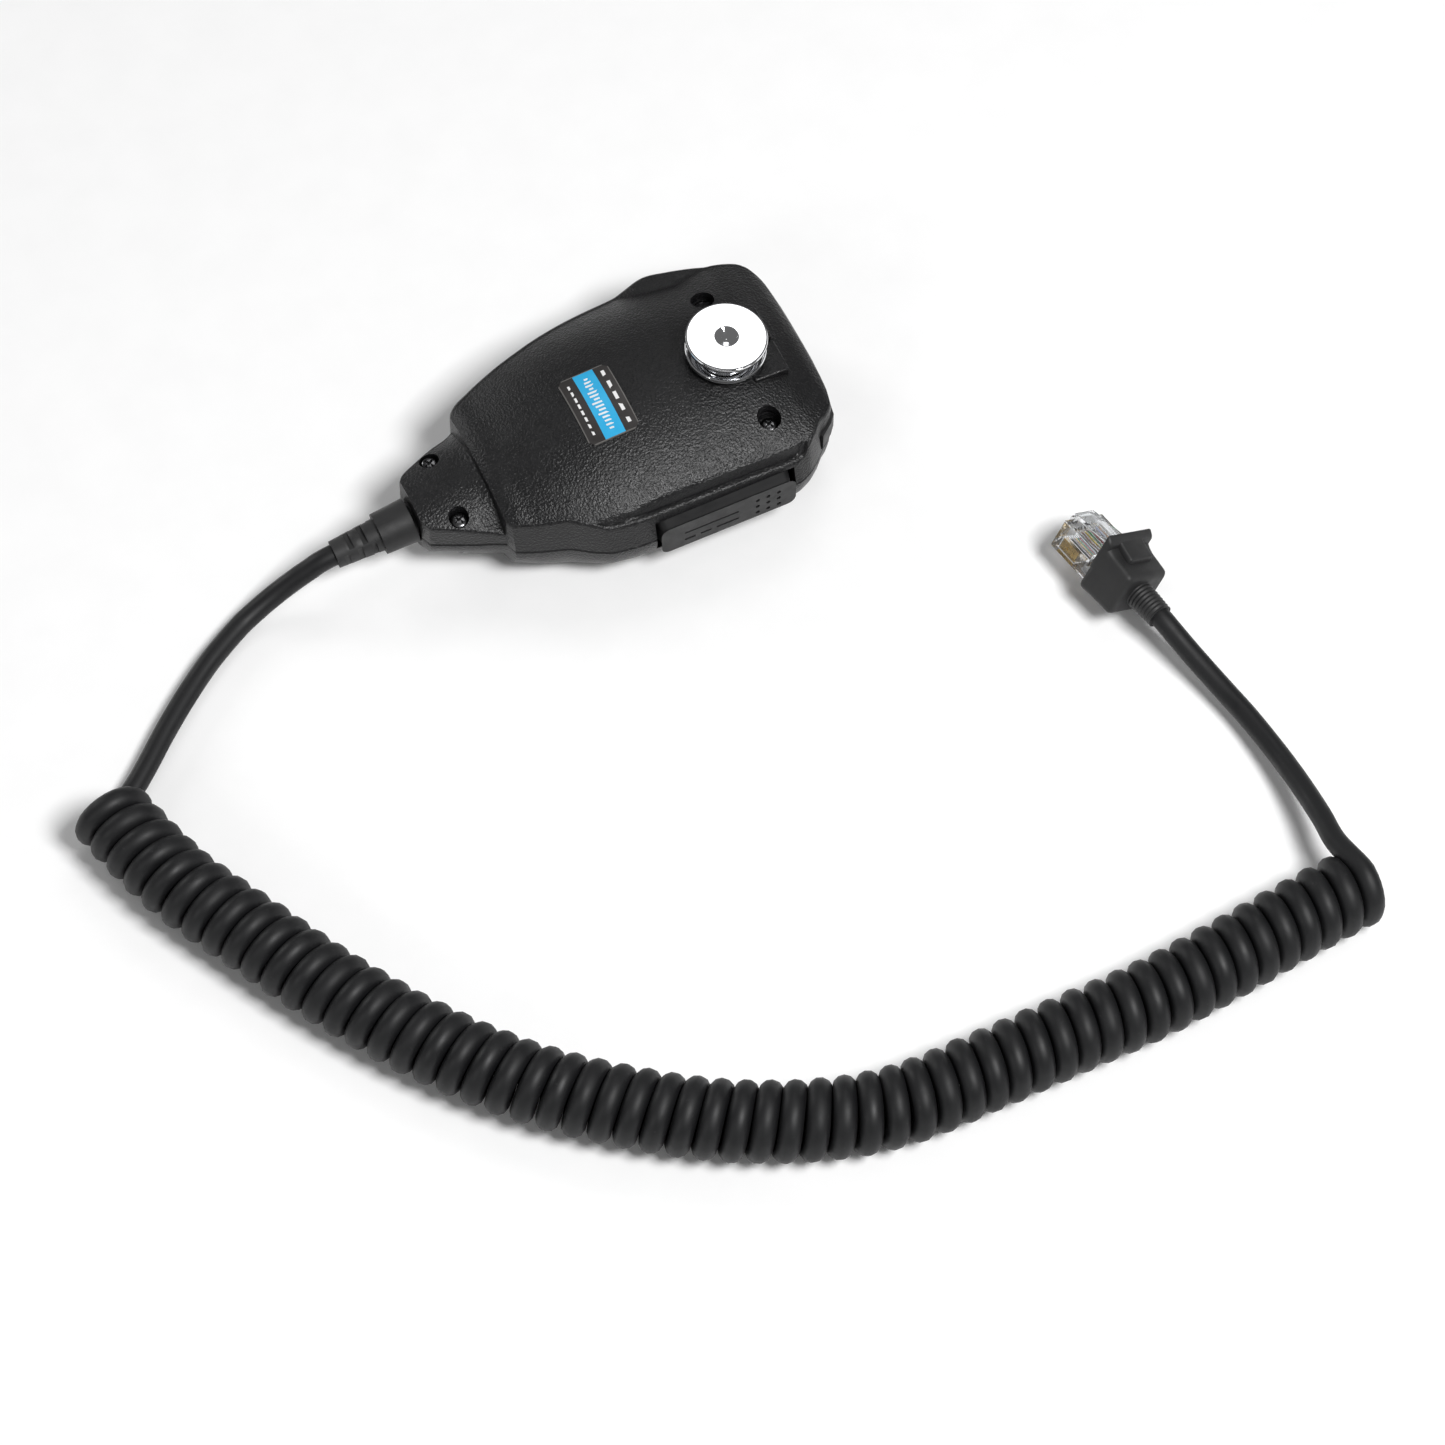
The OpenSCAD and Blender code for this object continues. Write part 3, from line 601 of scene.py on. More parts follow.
def on_curve(points, steps):
    """Catmull-Rom points through the given ones."""
    out = []
    last = len(points) - 1
    for i in range(last):
        a, b, c, d = (Vector(points[k]) for k in (max(i - 1, 0), i, i + 1, min(i + 2, last)))
        for s in range(steps):
            t = s / steps
            bend = (2 * a - 5 * b + 4 * c - d) * t * t
            out.append(0.5 * (2 * b + (c - a) * t + bend + (3 * b - a - 3 * c + d) * t ** 3))
    out.append(Vector(points[-1]))
    return out


def evenly(points, count):
    """count points the same distance apart along the given ones."""
    path = np.array([tuple(p) for p in points])
    run = np.concatenate([[0], np.cumsum(np.linalg.norm(np.diff(path, axis=0), axis=1))])
    marks = np.linspace(0, run[-1], count)
    return np.stack([np.interp(marks, run, path[:, k]) for k in range(3)], axis=1)


def coil_strand():
    """The strand of the curly section, wound round its centre line."""
    count = int(COIL_TURNS * RINGS_PER_TURN) + 1
    line = evenly(on_curve(COIL, 24), count)
    ahead = np.gradient(line, axis=0)
    strand = []
    for i, (p, t) in enumerate(zip(line, ahead)):
        t = Vector(t).normalized()
        side = Vector((-t.y, t.x, 0)).normalized()
        angle = math.pi + 2 * math.pi * COIL_TURNS * i / (count - 1)
        uneven = 1 + 0.006 * math.sin(0.37 * i) * math.sin(0.011 * i)
        round_line = math.cos(angle) * Vector((0, 0, 1)) + math.sin(angle) * side
        strand.append(Vector(p) + COIL_RADIUS * uneven * round_line)
    return strand


def make_cord():
    """The cord as one strand from inside the case to the plug, the point where it leaves, and its length."""
    tail = Vector((TAIL_X, 0, CORD_Z))
    tip = tail - (RELIEF_LENGTH + 0.5) * Vector((math.cos(DROOP), 0, math.sin(DROOP)))
    strand = coil_strand()
    inside = [(-38, 0, CORD_Z), tail, tip]
    neck = [at_plug(u, 0, 0) for u in (-6.8, 1.2)]
    lead_in = on_curve(inside + MIC_LEAD + [strand[0], strand[3]], 6)[:-6]
    lead_out = on_curve([strand[-4], strand[-1]] + PLUG_LEAD + neck, 6)[6:]
    points = lead_in[:-1] + strand + lead_out[1:]
    radii = [LEAD_RADIUS] * (len(lead_in) - 1) + [STRAND_RADIUS] * len(strand)
    radii += [LEAD_RADIUS] * (len(lead_out) - 1)
    window = 2 * BLEND_RINGS + 1
    grade = np.convolve(np.pad(radii, BLEND_RINGS, mode="edge"), np.ones(window) / window, mode="valid")
    data = bpy.data.curves.new("curly_cord_strand", "CURVE")
    data.dimensions = "3D"
    data.bevel_depth = STRAND_RADIUS * MM
    data.bevel_resolution = 4
    data.use_fill_caps = True
    spline = data.splines.new("POLY")
    spline.points.add(len(points) - 1)
    for place, p, r in zip(spline.points, points, grade):
        place.co = (*(Vector(p) * MM), 1)
        place.radius = r / STRAND_RADIUS
    data.materials.append(CORD.material)
    cord = put_in_scene("curly_cord_strand", data)
    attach(cord, "case")
    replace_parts(cord, "cord_mic_lead", "curly_cord", "cord_plug_lead")
    length = sum((Vector(b) - Vector(a)).length for a, b in zip(points, points[1:])) * MM
    return cord, tip, round(length, 3)


cord, cord_exit, CORD_LENGTH = make_cord()


# ---- case ----

SPLIT_Z = 12.0
GROOVE = 0.32
EDGE_ROUND = 1.0
WALL = 2.0
NEAR_HALF = [
    (-42.8, 5.4), (-41.8, 7.4), (-38, 9.3), (-34, 11.2), (-27.8, 14), (-27.6, 14.6), (-26.9, 16.5),
    (-22, 18.7), (-16.5, 20.6), (-12.4, 23.4), (-9, 25.2), (-4, 26), (0, 26.2), (33, 26.2), (36, 24.9),
    (38.6, 22.8), (40.5, 20.8), (42, 19.7), (43.4, 18.2), (44.4, 16.7), (45.2, 13.2), (45.7, 6),
]
FAR_HALF = [
    (-42.8, 6.1), (-41.8, 7.4), (-38, 9.3), (-34, 11.2), (-27.8, 14.4), (-27.6, 14.9), (-26.9, 16.1),
    (-22, 19), (-16.5, 21.1), (-12.4, 22.5), (-9, 23.5), (-4, 25), (2, 26.5), (8, 27.5), (14, 28.3),
    (18, 29.1), (23, 29.8), (28, 28.8), (33, 27.6), (36, 26.7), (38.6, 25.9), (40.5, 25.3), (42, 24.6),
    (43.4, 23.2), (44.4, 21.1), (45.2, 18), (45.7, 11),
]
SPINE = [
    (-42.8, 19), (-35, 20.1), (-27.8, 20.9), (-27.6, 22), (-22, 23.7), (-12.4, 26), (-4, 27.2), (8, 27.7),
    (18, 27.6), (28, 27), (36, 25.4), (40.5, 23.6), (45.2, 21), (45.7, 20.2),
]
ACROSS = [(-42.8, 19), (-27.8, 19), (-27.6, 44), (28, 44), (36, 57), (45.7, 97)]
BELLY = [(-42.8, 5.5), (-35, 3.6), (-27.6, 2.2), (-16.5, 0), (42, 0), (43.4, 1), (44.4, 2.4), (45.7, 4.8)]
ROUND_IN = [(-42.8, 5), (-38, 8), (-16.5, 8.5), (-12, 11), (36, 11), (44.4, 8), (45.7, 5)]
SHOULDER = [(10, 17), (14, 17.6), (18, 18.6), (23, 19.6), (28, 19.8), (36, 19.4), (42, 19), (45.7, 18.2)]
LEDGE = [(-15, 19.6), (-9, 19.3), (0, 19), (20, 18.4), (35, 18), (39, 18)]
LEDGE_START = [(-16.5, 20.4), (-13, 21.3), (-9, 22.2), (-4, 22.7), (39, 22.7)]
END_PULL = [(-42.8, 1), (-27.6, 1), (-16.5, 0), (36, 0), (45.7, -1)]
HEAD_SCREWS = [(30.5, 16), (30.5, -16)]
TAIL_SCREWS = [(-35.4, 7.5), (-35.4, -7.5)]
HEAD_BOSS, TAIL_BOSS, STUD_BOSS = 3.9, 2.65, 6.8
HEAD_WELL, TAIL_WELL, SCREW_HOLE, STUD_HOLE = 2.5, 2.1, 1.15, 1.6
HEAD_WELL_FLOOR, TAIL_WELL_FLOOR = 20.1, 16.1
ABOVE_ALL = 40
STUD_PLACE = Vector((28.2, 0, 28.1))
STUD_TURN = Matrix.Rotation(math.radians(3), 3, "Y")


class Fair:
    """A smooth curve through a table that never swings past its points."""

    def __init__(self, table):
        self.x = np.array([p[0] for p in table], float)
        self.y = np.array([p[1] for p in table], float)
        gaps = np.diff(self.x)
        slopes = np.diff(self.y) / gaps
        lean = np.zeros(len(self.x))
        lean[0], lean[-1] = slopes[0], slopes[-1]
        for k in range(1, len(self.x) - 1):
            a, b = slopes[k - 1], slopes[k]
            if a * b > 0:
                w1 = 2 * gaps[k] + gaps[k - 1]
                w2 = gaps[k] + 2 * gaps[k - 1]
                lean[k] = (w1 + w2) / (w1 / a + w2 / b)
        self.lean = lean

    def __call__(self, x):
        x = min(max(x, self.x[0]), self.x[-1])
        k = min(max(int(np.searchsorted(self.x, x, side="right")) - 1, 0), len(self.x) - 2)
        gap = self.x[k + 1] - self.x[k]
        t = (x - self.x[k]) / gap
        return float(
            (2 * t ** 3 - 3 * t * t + 1) * self.y[k] + (t ** 3 - 2 * t * t + t) * gap * self.lean[k]
            + (3 * t * t - 2 * t ** 3) * self.y[k + 1] + (t ** 3 - t * t) * gap * self.lean[k + 1]
        )


fair_near, far_half, spine, belly, round_in, shoulder, ledge, ledge_start = (
    Fair(t) for t in (NEAR_HALF, FAR_HALF, SPINE, BELLY, ROUND_IN, SHOULDER, LEDGE, LEDGE_START)
)

def straight(table, x):
    return float(np.interp(x, [p[0] for p in table], [p[1] for p in table]))


def near_half(x):
    """Half width on the bar's side, where the outline keeps firm corners."""
    return 0.75 * straight(NEAR_HALF, x) + 0.25 * fair_near(x)
def ease(a, b, x):
    t = min(max((x - a) / (b - a), 0), 1)
    return t * t * (3 - 2 * t)


def back_height(x, y):
    """Height of the back over the point x, y, with the ledge over the bar and the far shoulder."""
    r = straight(ACROSS, x)
    crown = spine(x) - r + math.sqrt(max(r * r - y * y, 0))
    start = ledge_start(x)
    on_ledge = ease(-15.5, -12.5, x) * (1 - ease(36, 38.8, x)) * ease(start, start + 0.8, -y)
    height = crown + on_ledge * (min(crown, ledge(x)) - crown)
    on_shoulder = ease(8, 21, x) * ease(21, 26.5, y)
    return height + on_shoulder * max(0, shoulder(x) - height)


def side_wall(edge, inwards, lean, bend, foot, top, d):
    """Points from a wall's foot up to where the crown starts; the foot has half the parting groove."""
    rise = top - EDGE_ROUND - foot - GROOVE
    points = [(edge + inwards * (GROOVE if d == 0 else 0), foot), (edge, foot + GROOVE)]
    points += [(edge + inwards * lean * t, foot + GROOVE + rise * t) for t in (0.33, 0.67, 1)]
    for t in (0.3, 0.6, 0.85):
        a = t * math.pi / 2
        across = lean + bend * (1 - math.cos(a))
        points.append((edge + inwards * across, top - EDGE_ROUND + EDGE_ROUND * math.sin(a)))
    return points


def back_section(x, d, foot, steps):
    """Section of the back cover from the near foot over the top to the far foot, d inside its skin."""
    near = -near_half(x) + d
    far = far_half(x) - d
    on_body = ease(-28, -27, x)
    lean_near = 1.1 * on_body * (1 - ease(40, 45, x)) + 0.15
    lean_far = 0.3
    bend = 0.5 + 0.4 * on_body
    start = near + lean_near + bend
    end = far - lean_far - bend
    section = side_wall(near, 1, lean_near, bend, foot, back_height(x, start) - d, d)
    for k in range(steps + 1):
        y = start + (end - start) * k / steps
        section.append((y, back_height(x, y) - d))
    section += side_wall(far, -1, lean_far, bend, foot, back_height(x, end) - d, d)[::-1]
    px = x + d * straight(END_PULL, x)
    return [Vector((px, y, z)) for y, z in section]


def front_section(x, d, top, steps):
    """Section of the front shell from the far edge round the belly to the near edge."""
    near = -near_half(x) + d
    far = far_half(x) - d
    px = x + d * straight(END_PULL, x)
    low = belly(x) + d
    rise = SPLIT_Z - 0.4 - low
    reach = min(round_in(x) - d, 0.48 * (far - near))
    arc = [math.radians(90 * k / steps) for k in range(steps, -1, -1)]
    section = [(far - (GROOVE if d == 0 else 0), top)]
    section += [(far - reach * (1 - math.sin(a)), low + rise * (1 - math.cos(a))) for a in arc]
    section += [(near + reach * (1 - math.sin(a)), low + rise * (1 - math.cos(a))) for a in reversed(arc)]
    section.append((near + (GROOVE if d == 0 else 0), top))
    return [Vector((px, y, z)) for y, z in section]


def stations(fine):
    spans = [(-42.8, -41.8, 5), (-41.8, -27.8, 18), (-27.8, -27.6, 2), (-27.6, -26.9, 4), (-26.9, 43.4, 100),
             (43.4, 45.7, 16)]
    out = []
    for low, high, count in spans:
        count = max(2, int(count * fine))
        out += [low + (high - low) * k / count for k in range(count)]
    return out + [45.7]


def hole(place, radius, low, high):
    return drum((place[0], place[1], 0), radius, low, high, 64)


def key_room(outline, grow, low, high):
    """The keys' outlines, grown outwards, as a prism between two heights."""
    count = len(outline)
    out = []
    for i, p in enumerate(outline):
        p = Vector(p)
        a = (p - Vector(outline[i - 1])).normalized()
        b = (Vector(outline[(i + 1) % count]) - p).normalized()
        m = Vector((a.y + b.y, -a.x - b.x)).normalized()
        out.append(p + m * grow / max(0.5, m.dot(Vector((a.y, -a.x)))))
    return prism([tuple(p) for p in out], low, high)


DOWN_KEY = [
    (43.4, -3.2), (43.2, -12), (42.4, -15), (41.5, -16.7), (39.2, -19.2), (40.6, -20.9), (43.5, -18.6),
    (44.9, -16.9), (45.6, -13.2), (45.9, -8), (45.9, -3.2),
]
UP_KEY = [
    (43.4, 3.2), (45.9, 3.2), (45.9, 11), (45.6, 17), (44.8, 21), (43.9, 23.2), (42.6, 24.9), (40.8, 23.6),
    (42.2, 20.4), (43, 16),
]
KEY_Z, KEY_H = 14.7, 4.4
BAR_X, BAR_LENGTH, BAR_Z, BAR_H = 0.8, 30.4, 8.0, 8.4
GRILLE_X, GRILLE_PITCH = 14, 2.2


def side_openings():
    """Room for the push-to-talk bar, the end keys and the cord."""
    parts = [block((BAR_X - 0.4, -30, BAR_Z - 0.4), (BAR_X + BAR_LENGTH + 0.7, -22, BAR_Z + BAR_H + 0.4))]
    low, high = KEY_Z - KEY_H / 2, KEY_Z + KEY_H / 2
    for outline, y in ((DOWN_KEY, -8.5), (UP_KEY, 8.5)):
        for travel in (0, 0.65):
            moved = [(px - travel, py) for px, py in outline]
            parts.append(key_room(moved, 0.3, low - 0.3, high + 0.3))
        parts.append(block((41.1, y - 5.4, low - 1.2), (43.1, y + 5.4, high + 1.2)))
    parts.append(drum((TAIL_X - 1, 0, CORD_Z), 3.6, 0, 6, 48, ALONG_X))
    return parts


def make_back_cover():
    skin = merged("back_cover_skin", [loft([back_section(x, 0, SPLIT_Z, 84) for x in stations(1)])])
    hollow = merged("back_hollow", [loft([back_section(x, WALL, SPLIT_Z - 1, 30) for x in stations(0.4)])])
    shell = carve(skin, hollow)
    bosses = []
    for x, y in HEAD_SCREWS:
        top = min(back_height(x + HEAD_BOSS, y), back_height(x, abs(y) + HEAD_BOSS)) - 0.7
        bosses.append(drum((x, y, 0), HEAD_BOSS, 15, top))
    for x, y in TAIL_SCREWS:
        bosses.append(drum((x, y, 0), TAIL_BOSS, 12.3, back_height(x - 3, abs(y) + 2) - 0.9))
    bosses.append(drum(STUD_PLACE, STUD_BOSS, -4.6, 0, 64, STUD_TURN))
    shell = carve(shell, merged("bosses", bosses), "UNION")
    holes = [hole(p, HEAD_WELL, HEAD_WELL_FLOOR, ABOVE_ALL) for p in HEAD_SCREWS]
    holes += [hole(p, TAIL_WELL, TAIL_WELL_FLOOR, ABOVE_ALL) for p in TAIL_SCREWS]
    holes += side_openings()[:1]
    shell = carve(shell, merged("holes", holes))
    narrow = [hole(p, SCREW_HOLE, 10, 30) for p in HEAD_SCREWS + TAIL_SCREWS]
    narrow.append(drum(STUD_PLACE, STUD_HOLE, -10, 10, 40, STUD_TURN))
    shell = carve(shell, merged("narrow_holes", narrow))
    for opening in side_openings()[1:]:
        shell = carve(shell, merged("side_opening", [opening]))
    soften(shell, 32)
    return new_piece("back_cover_shell", shell, CASE, "case")


def make_front_shell():
    skin = merged("front_skin", [loft([front_section(x, 0, SPLIT_Z, 18) for x in stations(1)])])
    hollow = merged("front_hollow", [loft([front_section(x, WALL, SPLIT_Z + 1, 8) for x in stations(0.4)])])
    shell = carve(skin, hollow)
    cuts = side_openings()
    cuts += [
        drum((GRILLE_X + GRILLE_PITCH * x, GRILLE_PITCH * y, 0), 0.7, -1, 5, 20)
        for x in range(-2, 3) for y in range(-2, 3) if x * x + y * y < 6
    ]
    shell = carve(shell, merged("front_cuts", cuts))
    soften(shell, 32)
    return new_piece("front_shell_smooth", shell, CASE, "case")


back_cover = make_back_cover()
front_shell = make_front_shell()


def sloped_block(y0, y1, start, end):
    """A block along x between two y; start and end give x, the foot and the top there."""
    ring = ((start[0], start[1]), (end[0], end[1]), (end[0], end[2]), (start[0], start[2]))
    return loft([[Vector((x, y, z)) for x, z in ring] for y in (y0, y1)])


def make_stop_block():
    """The two-level stop beside the stud, which keeps the microphone from turning in its hanger."""
    parts = [
        sloped_block(-8.4, -0.6, (31, 24, 26.6), (38.8, 23, 26.3)),
        sloped_block(0.1, 8.4, (31, 24, 27.2), (38.8, 23, 26.7)),
        block((31, -0.8, 23), (35.8, 0.3, 26.3)),
    ]
    mesh = merged("stop_block", parts)
    soften(mesh, 30)
    piece = new_piece("stop_block", mesh, CASE, "case")
    round_edges(piece, 0.00035, 3, 40, False)


make_stop_block()
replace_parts(back_cover, "back_cover")
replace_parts(front_shell, "front_shell")


# ---- label ----

LABEL_X, LABEL_L, LABEL_W = -0.5, 11.2, 17.0
BAND_FROM, BAND_TO = 0.31, 0.71
LABEL_RIM = 0.22


def label_finish():
    """A dark brown-grey label with a blue band across it and a thin pale border."""
    made = Finish("label_print")
    split = made.node("ShaderNodeSeparateXYZ")
    made.link(made.place, split.inputs[0])
    x = split.outputs["X"]
    y = split.outputs["Y"]
    low = (LABEL_X - LABEL_L * 0.5) * MM
    past_low = made.sum(x, low + BAND_FROM * LABEL_L * MM, "GREATER_THAN")
    short_of_high = made.sum(x, low + BAND_TO * LABEL_L * MM, "LESS_THAN")
    band = made.sum(past_low, short_of_high, "MULTIPLY")
    off_x = made.sum(made.sum(x, -LABEL_X * MM), 0, "ABSOLUTE")
    off_y = made.sum(y, 0, "ABSOLUTE")
    edge_x = made.sum(off_x, (LABEL_L * 0.5 - LABEL_RIM) * MM, "GREATER_THAN")
    edge_y = made.sum(off_y, (LABEL_W * 0.5 - LABEL_RIM) * MM, "GREATER_THAN")
    ground = made.blend(made.stretch(made.noise(400, 3), 0, 1), (0.022, 0.0195, 0.019), (0.03, 0.027, 0.026))
    blue = made.blend(made.stretch(made.noise(300, 2), 0, 1), (0.02, 0.36, 0.66), (0.028, 0.4, 0.7))
    face = made.blend(band, ground, blue)
    rim = made.sum(edge_x, edge_y, "MAXIMUM")
    made.colour(made.blend(rim, face, (0.12, 0.115, 0.11)))
    made.rough(600, 3, 0.3, 0.42)
    made.bump(made.noise(900, 2), 0.1, 0.00004)
    return made


def back_point(x, y, lift):
    return Vector((x, y, back_height(x, y) + lift))


def make_label():
    half_l, half_w, cut = LABEL_L / 2, LABEL_W / 2, 1.1
    outline = [
        (-half_l + cut, -half_w), (half_l - cut, -half_w), (half_l, -half_w + cut), (half_l, half_w - cut),
        (half_l - cut, half_w), (-half_l + cut, half_w), (-half_l, half_w - cut), (-half_l, -half_w + cut),
    ]
    work = bmesh.new()
    corners = [work.verts.new((x * MM, y * MM, 0)) for x, y in outline]
    work.faces.new(corners)
    for way, half in ((Vector((1, 0, 0)), half_l), (Vector((0, 1, 0)), half_w)):
        for k in range(-7, 8):
            everything = work.verts[:] + work.edges[:] + work.faces[:]
            bmesh.ops.bisect_plane(work, geom=everything, plane_co=way * (k * half / 8 * MM), plane_no=way)
    for v in work.verts:
        x, y = v.co.x / MM + LABEL_X, v.co.y / MM
        v.co = back_point(x, y, 0.28) * MM
    grown_faces = bmesh.ops.extrude_face_region(work, geom=work.faces[:])
    for v in [g for g in grown_faces["geom"] if isinstance(g, bmesh.types.BMVert)]:
        v.co.z -= 0.33 * MM
    bmesh.ops.recalc_face_normals(work, faces=work.faces)
    mesh = bpy.data.meshes.new("label_sheet")
    work.to_mesh(mesh)
    work.free()
    soften(mesh, 40)
    piece = new_piece("label_sheet", mesh, label_finish(), "case")
    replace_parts(piece, "label_plate")


make_label()
INK = moulded("label_white_ink", (0.7, 0.7, 0.7), (0.82, 0.82, 0.82), (0.35, 0.5), 2000, 0.1)


def make_label_marks():
    """A level meter of bars on the band, and plain rows of dashes above and below it."""
    mark = merged("mark", [block((-0.5, -0.5, -0.03), (0.5, 0.5, 0.02))])
    places = []
    sizes = []
    count = 15
    for k in range(count):
        y = -6.4 + 12.8 * k / (count - 1)
        height = 0.8 + 2.1 * abs(math.sin(1.1 * k + 0.4)) * math.sin(math.pi * (k + 1) / (count + 1))
        places.append(back_point(LABEL_X + 0.1, y, 0.3))
        sizes.append((height, 0.42, 1))
    for row, length, width, number in ((3.95, 1.9, 0.75, 5), (-3.85, 1.1, 0.5, 8)):
        for k in range(number):
            y = -5.9 + 11.8 * k / (number - 1)
            places.append(back_point(LABEL_X + row, y, 0.3))
            sizes.append((width, length, 1))
    repeated("label_marks", mark, places, sizes, (0, 0, 0), INK)


make_label_marks()


# ---- stud, screws, bar and keys ----

def make_stud():
    """A turned stud: two flanges on a neck, with a shallow drilled dimple in the middle of the top."""
    profile = [
        (0, 0), (8.0, 0), (8.3, 0.12), (8.4, 0.35), (8.4, 1.05), (8.25, 1.25), (8.0, 1.3), (5.7, 1.3),
        (5.5, 1.45), (5.5, 3.75), (5.7, 3.9), (8.1, 3.9), (8.35, 3.98), (8.48, 4.2), (8.5, 4.25),
        (8.5, 4.8), (8.48, 4.86), (8.38, 5.08), (8.16, 5.19), (8.06, 5.2), (7.9, 5.2), (2.7, 5.2),
        (2.5, 5.2), (2.42, 5.17), (2.3, 5.1), (1.2, 4.6), (0.15, 4.14), (0, 4.12),
    ]
    points, faces = turned(profile, 128)
    stud = merged("hang_stud_turned", [([STUD_PLACE + STUD_TURN @ p for p in points], faces)])
    stud = carve(stud, merged("stud_thread", [drum(STUD_PLACE, 1.27, -1, 3.2, 32, STUD_TURN)]))
    soften(stud, 28)
    piece = new_piece("hang_stud_turned", stud, CHROME, "case")
    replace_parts(piece, "hang_stud")


make_stud()


def screw_pattern():
    """A crosshead screw, its top at the origin."""
    profile = [
        (0.0, -0.05), (0.9, -0.06), (1.45, -0.18), (1.8, -0.45), (1.9, -0.75), (1.9, -1.4), (1.0, -1.45),
        (1.0, -11.4), (0.0, -11.4),
    ]
    head = merged("screw_head", [turned(profile, 40)])
    for x, y in ((1.15, 0.26), (0.26, 1.15)):
        head = carve(head, merged("screw_cross", [block((-x, -y, -0.8), (x, y, 0.5))]))
    soften(head, 35)
    return head


HEAD_SCREW_TOP, TAIL_SCREW_TOP, SCREW_TURN = 21.5, 17.5, 0.5
screw_places = [(*p, HEAD_SCREW_TOP) for p in HEAD_SCREWS] + [(*p, TAIL_SCREW_TOP) for p in TAIL_SCREWS]
case_screws = repeated(
    "crosshead_screws", screw_pattern(), screw_places, [(1, 1, 1)] * len(screw_places), (0, 0, SCREW_TURN),
    BLACK_STEEL,
)
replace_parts(case_screws, "case_screws")


def rounded_plate(x0, x1, z0, z1, y_face, y_back, corner, edge):
    """A plate facing -y with rounded corners, its rim hollowed behind the face by the edge radius."""
    def outline(inside):
        points = []
        r = max(corner - inside, 0.05)
        for cx, cz, start in ((x1, z0, -90), (x1, z1, 0), (x0, z1, 90), (x0, z0, 180)):
            mx = cx - (inside + r) * (1 if cx == x1 else -1)
            mz = cz - (inside + r) * (1 if cz == z1 else -1)
            for k in range(9):
                a = math.radians(start + 90 * k / 8)
                points.append((mx + r * math.cos(a), mz + r * math.sin(a)))
        return points

    sections = [[Vector((x, y_back, z)) for x, z in outline(0)]]
    for t in range(0, 91, 15):
        y = y_face + edge * (1 - math.sin(math.radians(t)))
        sections.append([Vector((x, y, z)) for x, z in outline(edge * math.cos(math.radians(t)))])
    return loft(sections)


def make_bar():
    """The push-to-talk bar on its hinge arm, with grip dots and a row of plain engraved marks."""
    face_y = -27.5
    end = BAR_X + BAR_LENGTH
    slab = merged("bar_slab", [rounded_plate(BAR_X, end, BAR_Z, BAR_Z + BAR_H, face_y, -23.4, 2.0, 0.9)])
    marks = ((6, 8.4, 9.9, 10.5), (9.6, 12, 9.9, 10.5), (13.2, 18.2, 9.9, 10.5), (6, 18.2, 12.4, 12.9))
    cuts = [block((x0, face_y - 1, z0), (x1, face_y + 0.3, z1)) for x0, x1, z0, z1 in marks]
    cuts += [
        drum((BAR_X + 21.7 + 2.4 * i, face_y + 0.45, BAR_Z + 1.5 + 2.2 * k), 0.48, 0, 1.5, 20, ALONG_Y)
        for i in range(3) for k in range(3)
    ]
    slab = carve(slab, merged("bar_cuts", cuts))
    arm = merged("bar_arm", [
        block((1.7, -24, 8.4), (5.3, -21.4, 15)), drum((3.5, -21.4, 0), 1.8, 8.4, 15),
        block((21.25, -24, 9.6), (22.75, -20.9, 12.2)),
    ])
    arm = carve(arm, merged("pin_room", [drum((3.5, -21.4, 0), 1.05, 0, 20, 32)]))
    with reworked(slab) as work:
        work.from_mesh(arm)
    soften(slab, 35)
    piece = new_piece("push_to_talk_bar", slab, KEY, "ptt")
    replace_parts(piece, "ptt_button")


make_bar()


def make_spring():
    """The bar's return spring, as one coil at its resting length."""
    root = Vector((13, -20.7, 11.4)) * MM
    values = {
        "Turns": 4.5, "Radius": 1.5 * MM, "Length": 2.3 * MM, "Wire radius": 0.17 * MM, "Place": root,
        "Turn": (math.radians(90), 0, 0), "Finish": STEEL.material,
    }
    spring = grown("bar_return_spring", None, SPRING, values)
    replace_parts(spring, "ptt_spring")
    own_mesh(spring)


make_spring()
dressed_copy("up_button", KEY, "up_key", 0.00025)
dressed_copy("down_button", KEY, "down_key", 0.00025)
dressed_copy("strain_relief", BOOT, "case", 0.00012)


# ---- plug ----

def rounded_part(name, part, width):
    """A closed body with all its edges rounded."""
    mesh = merged(name, [part])
    with reworked(mesh) as work:
        sharp = [e for e in work.edges if e.calc_face_angle(0) > math.radians(20)]
        bmesh.ops.bevel(work, geom=sharp, offset=width * MM, segments=4, profile=0.5, affect="EDGES")
    return mesh


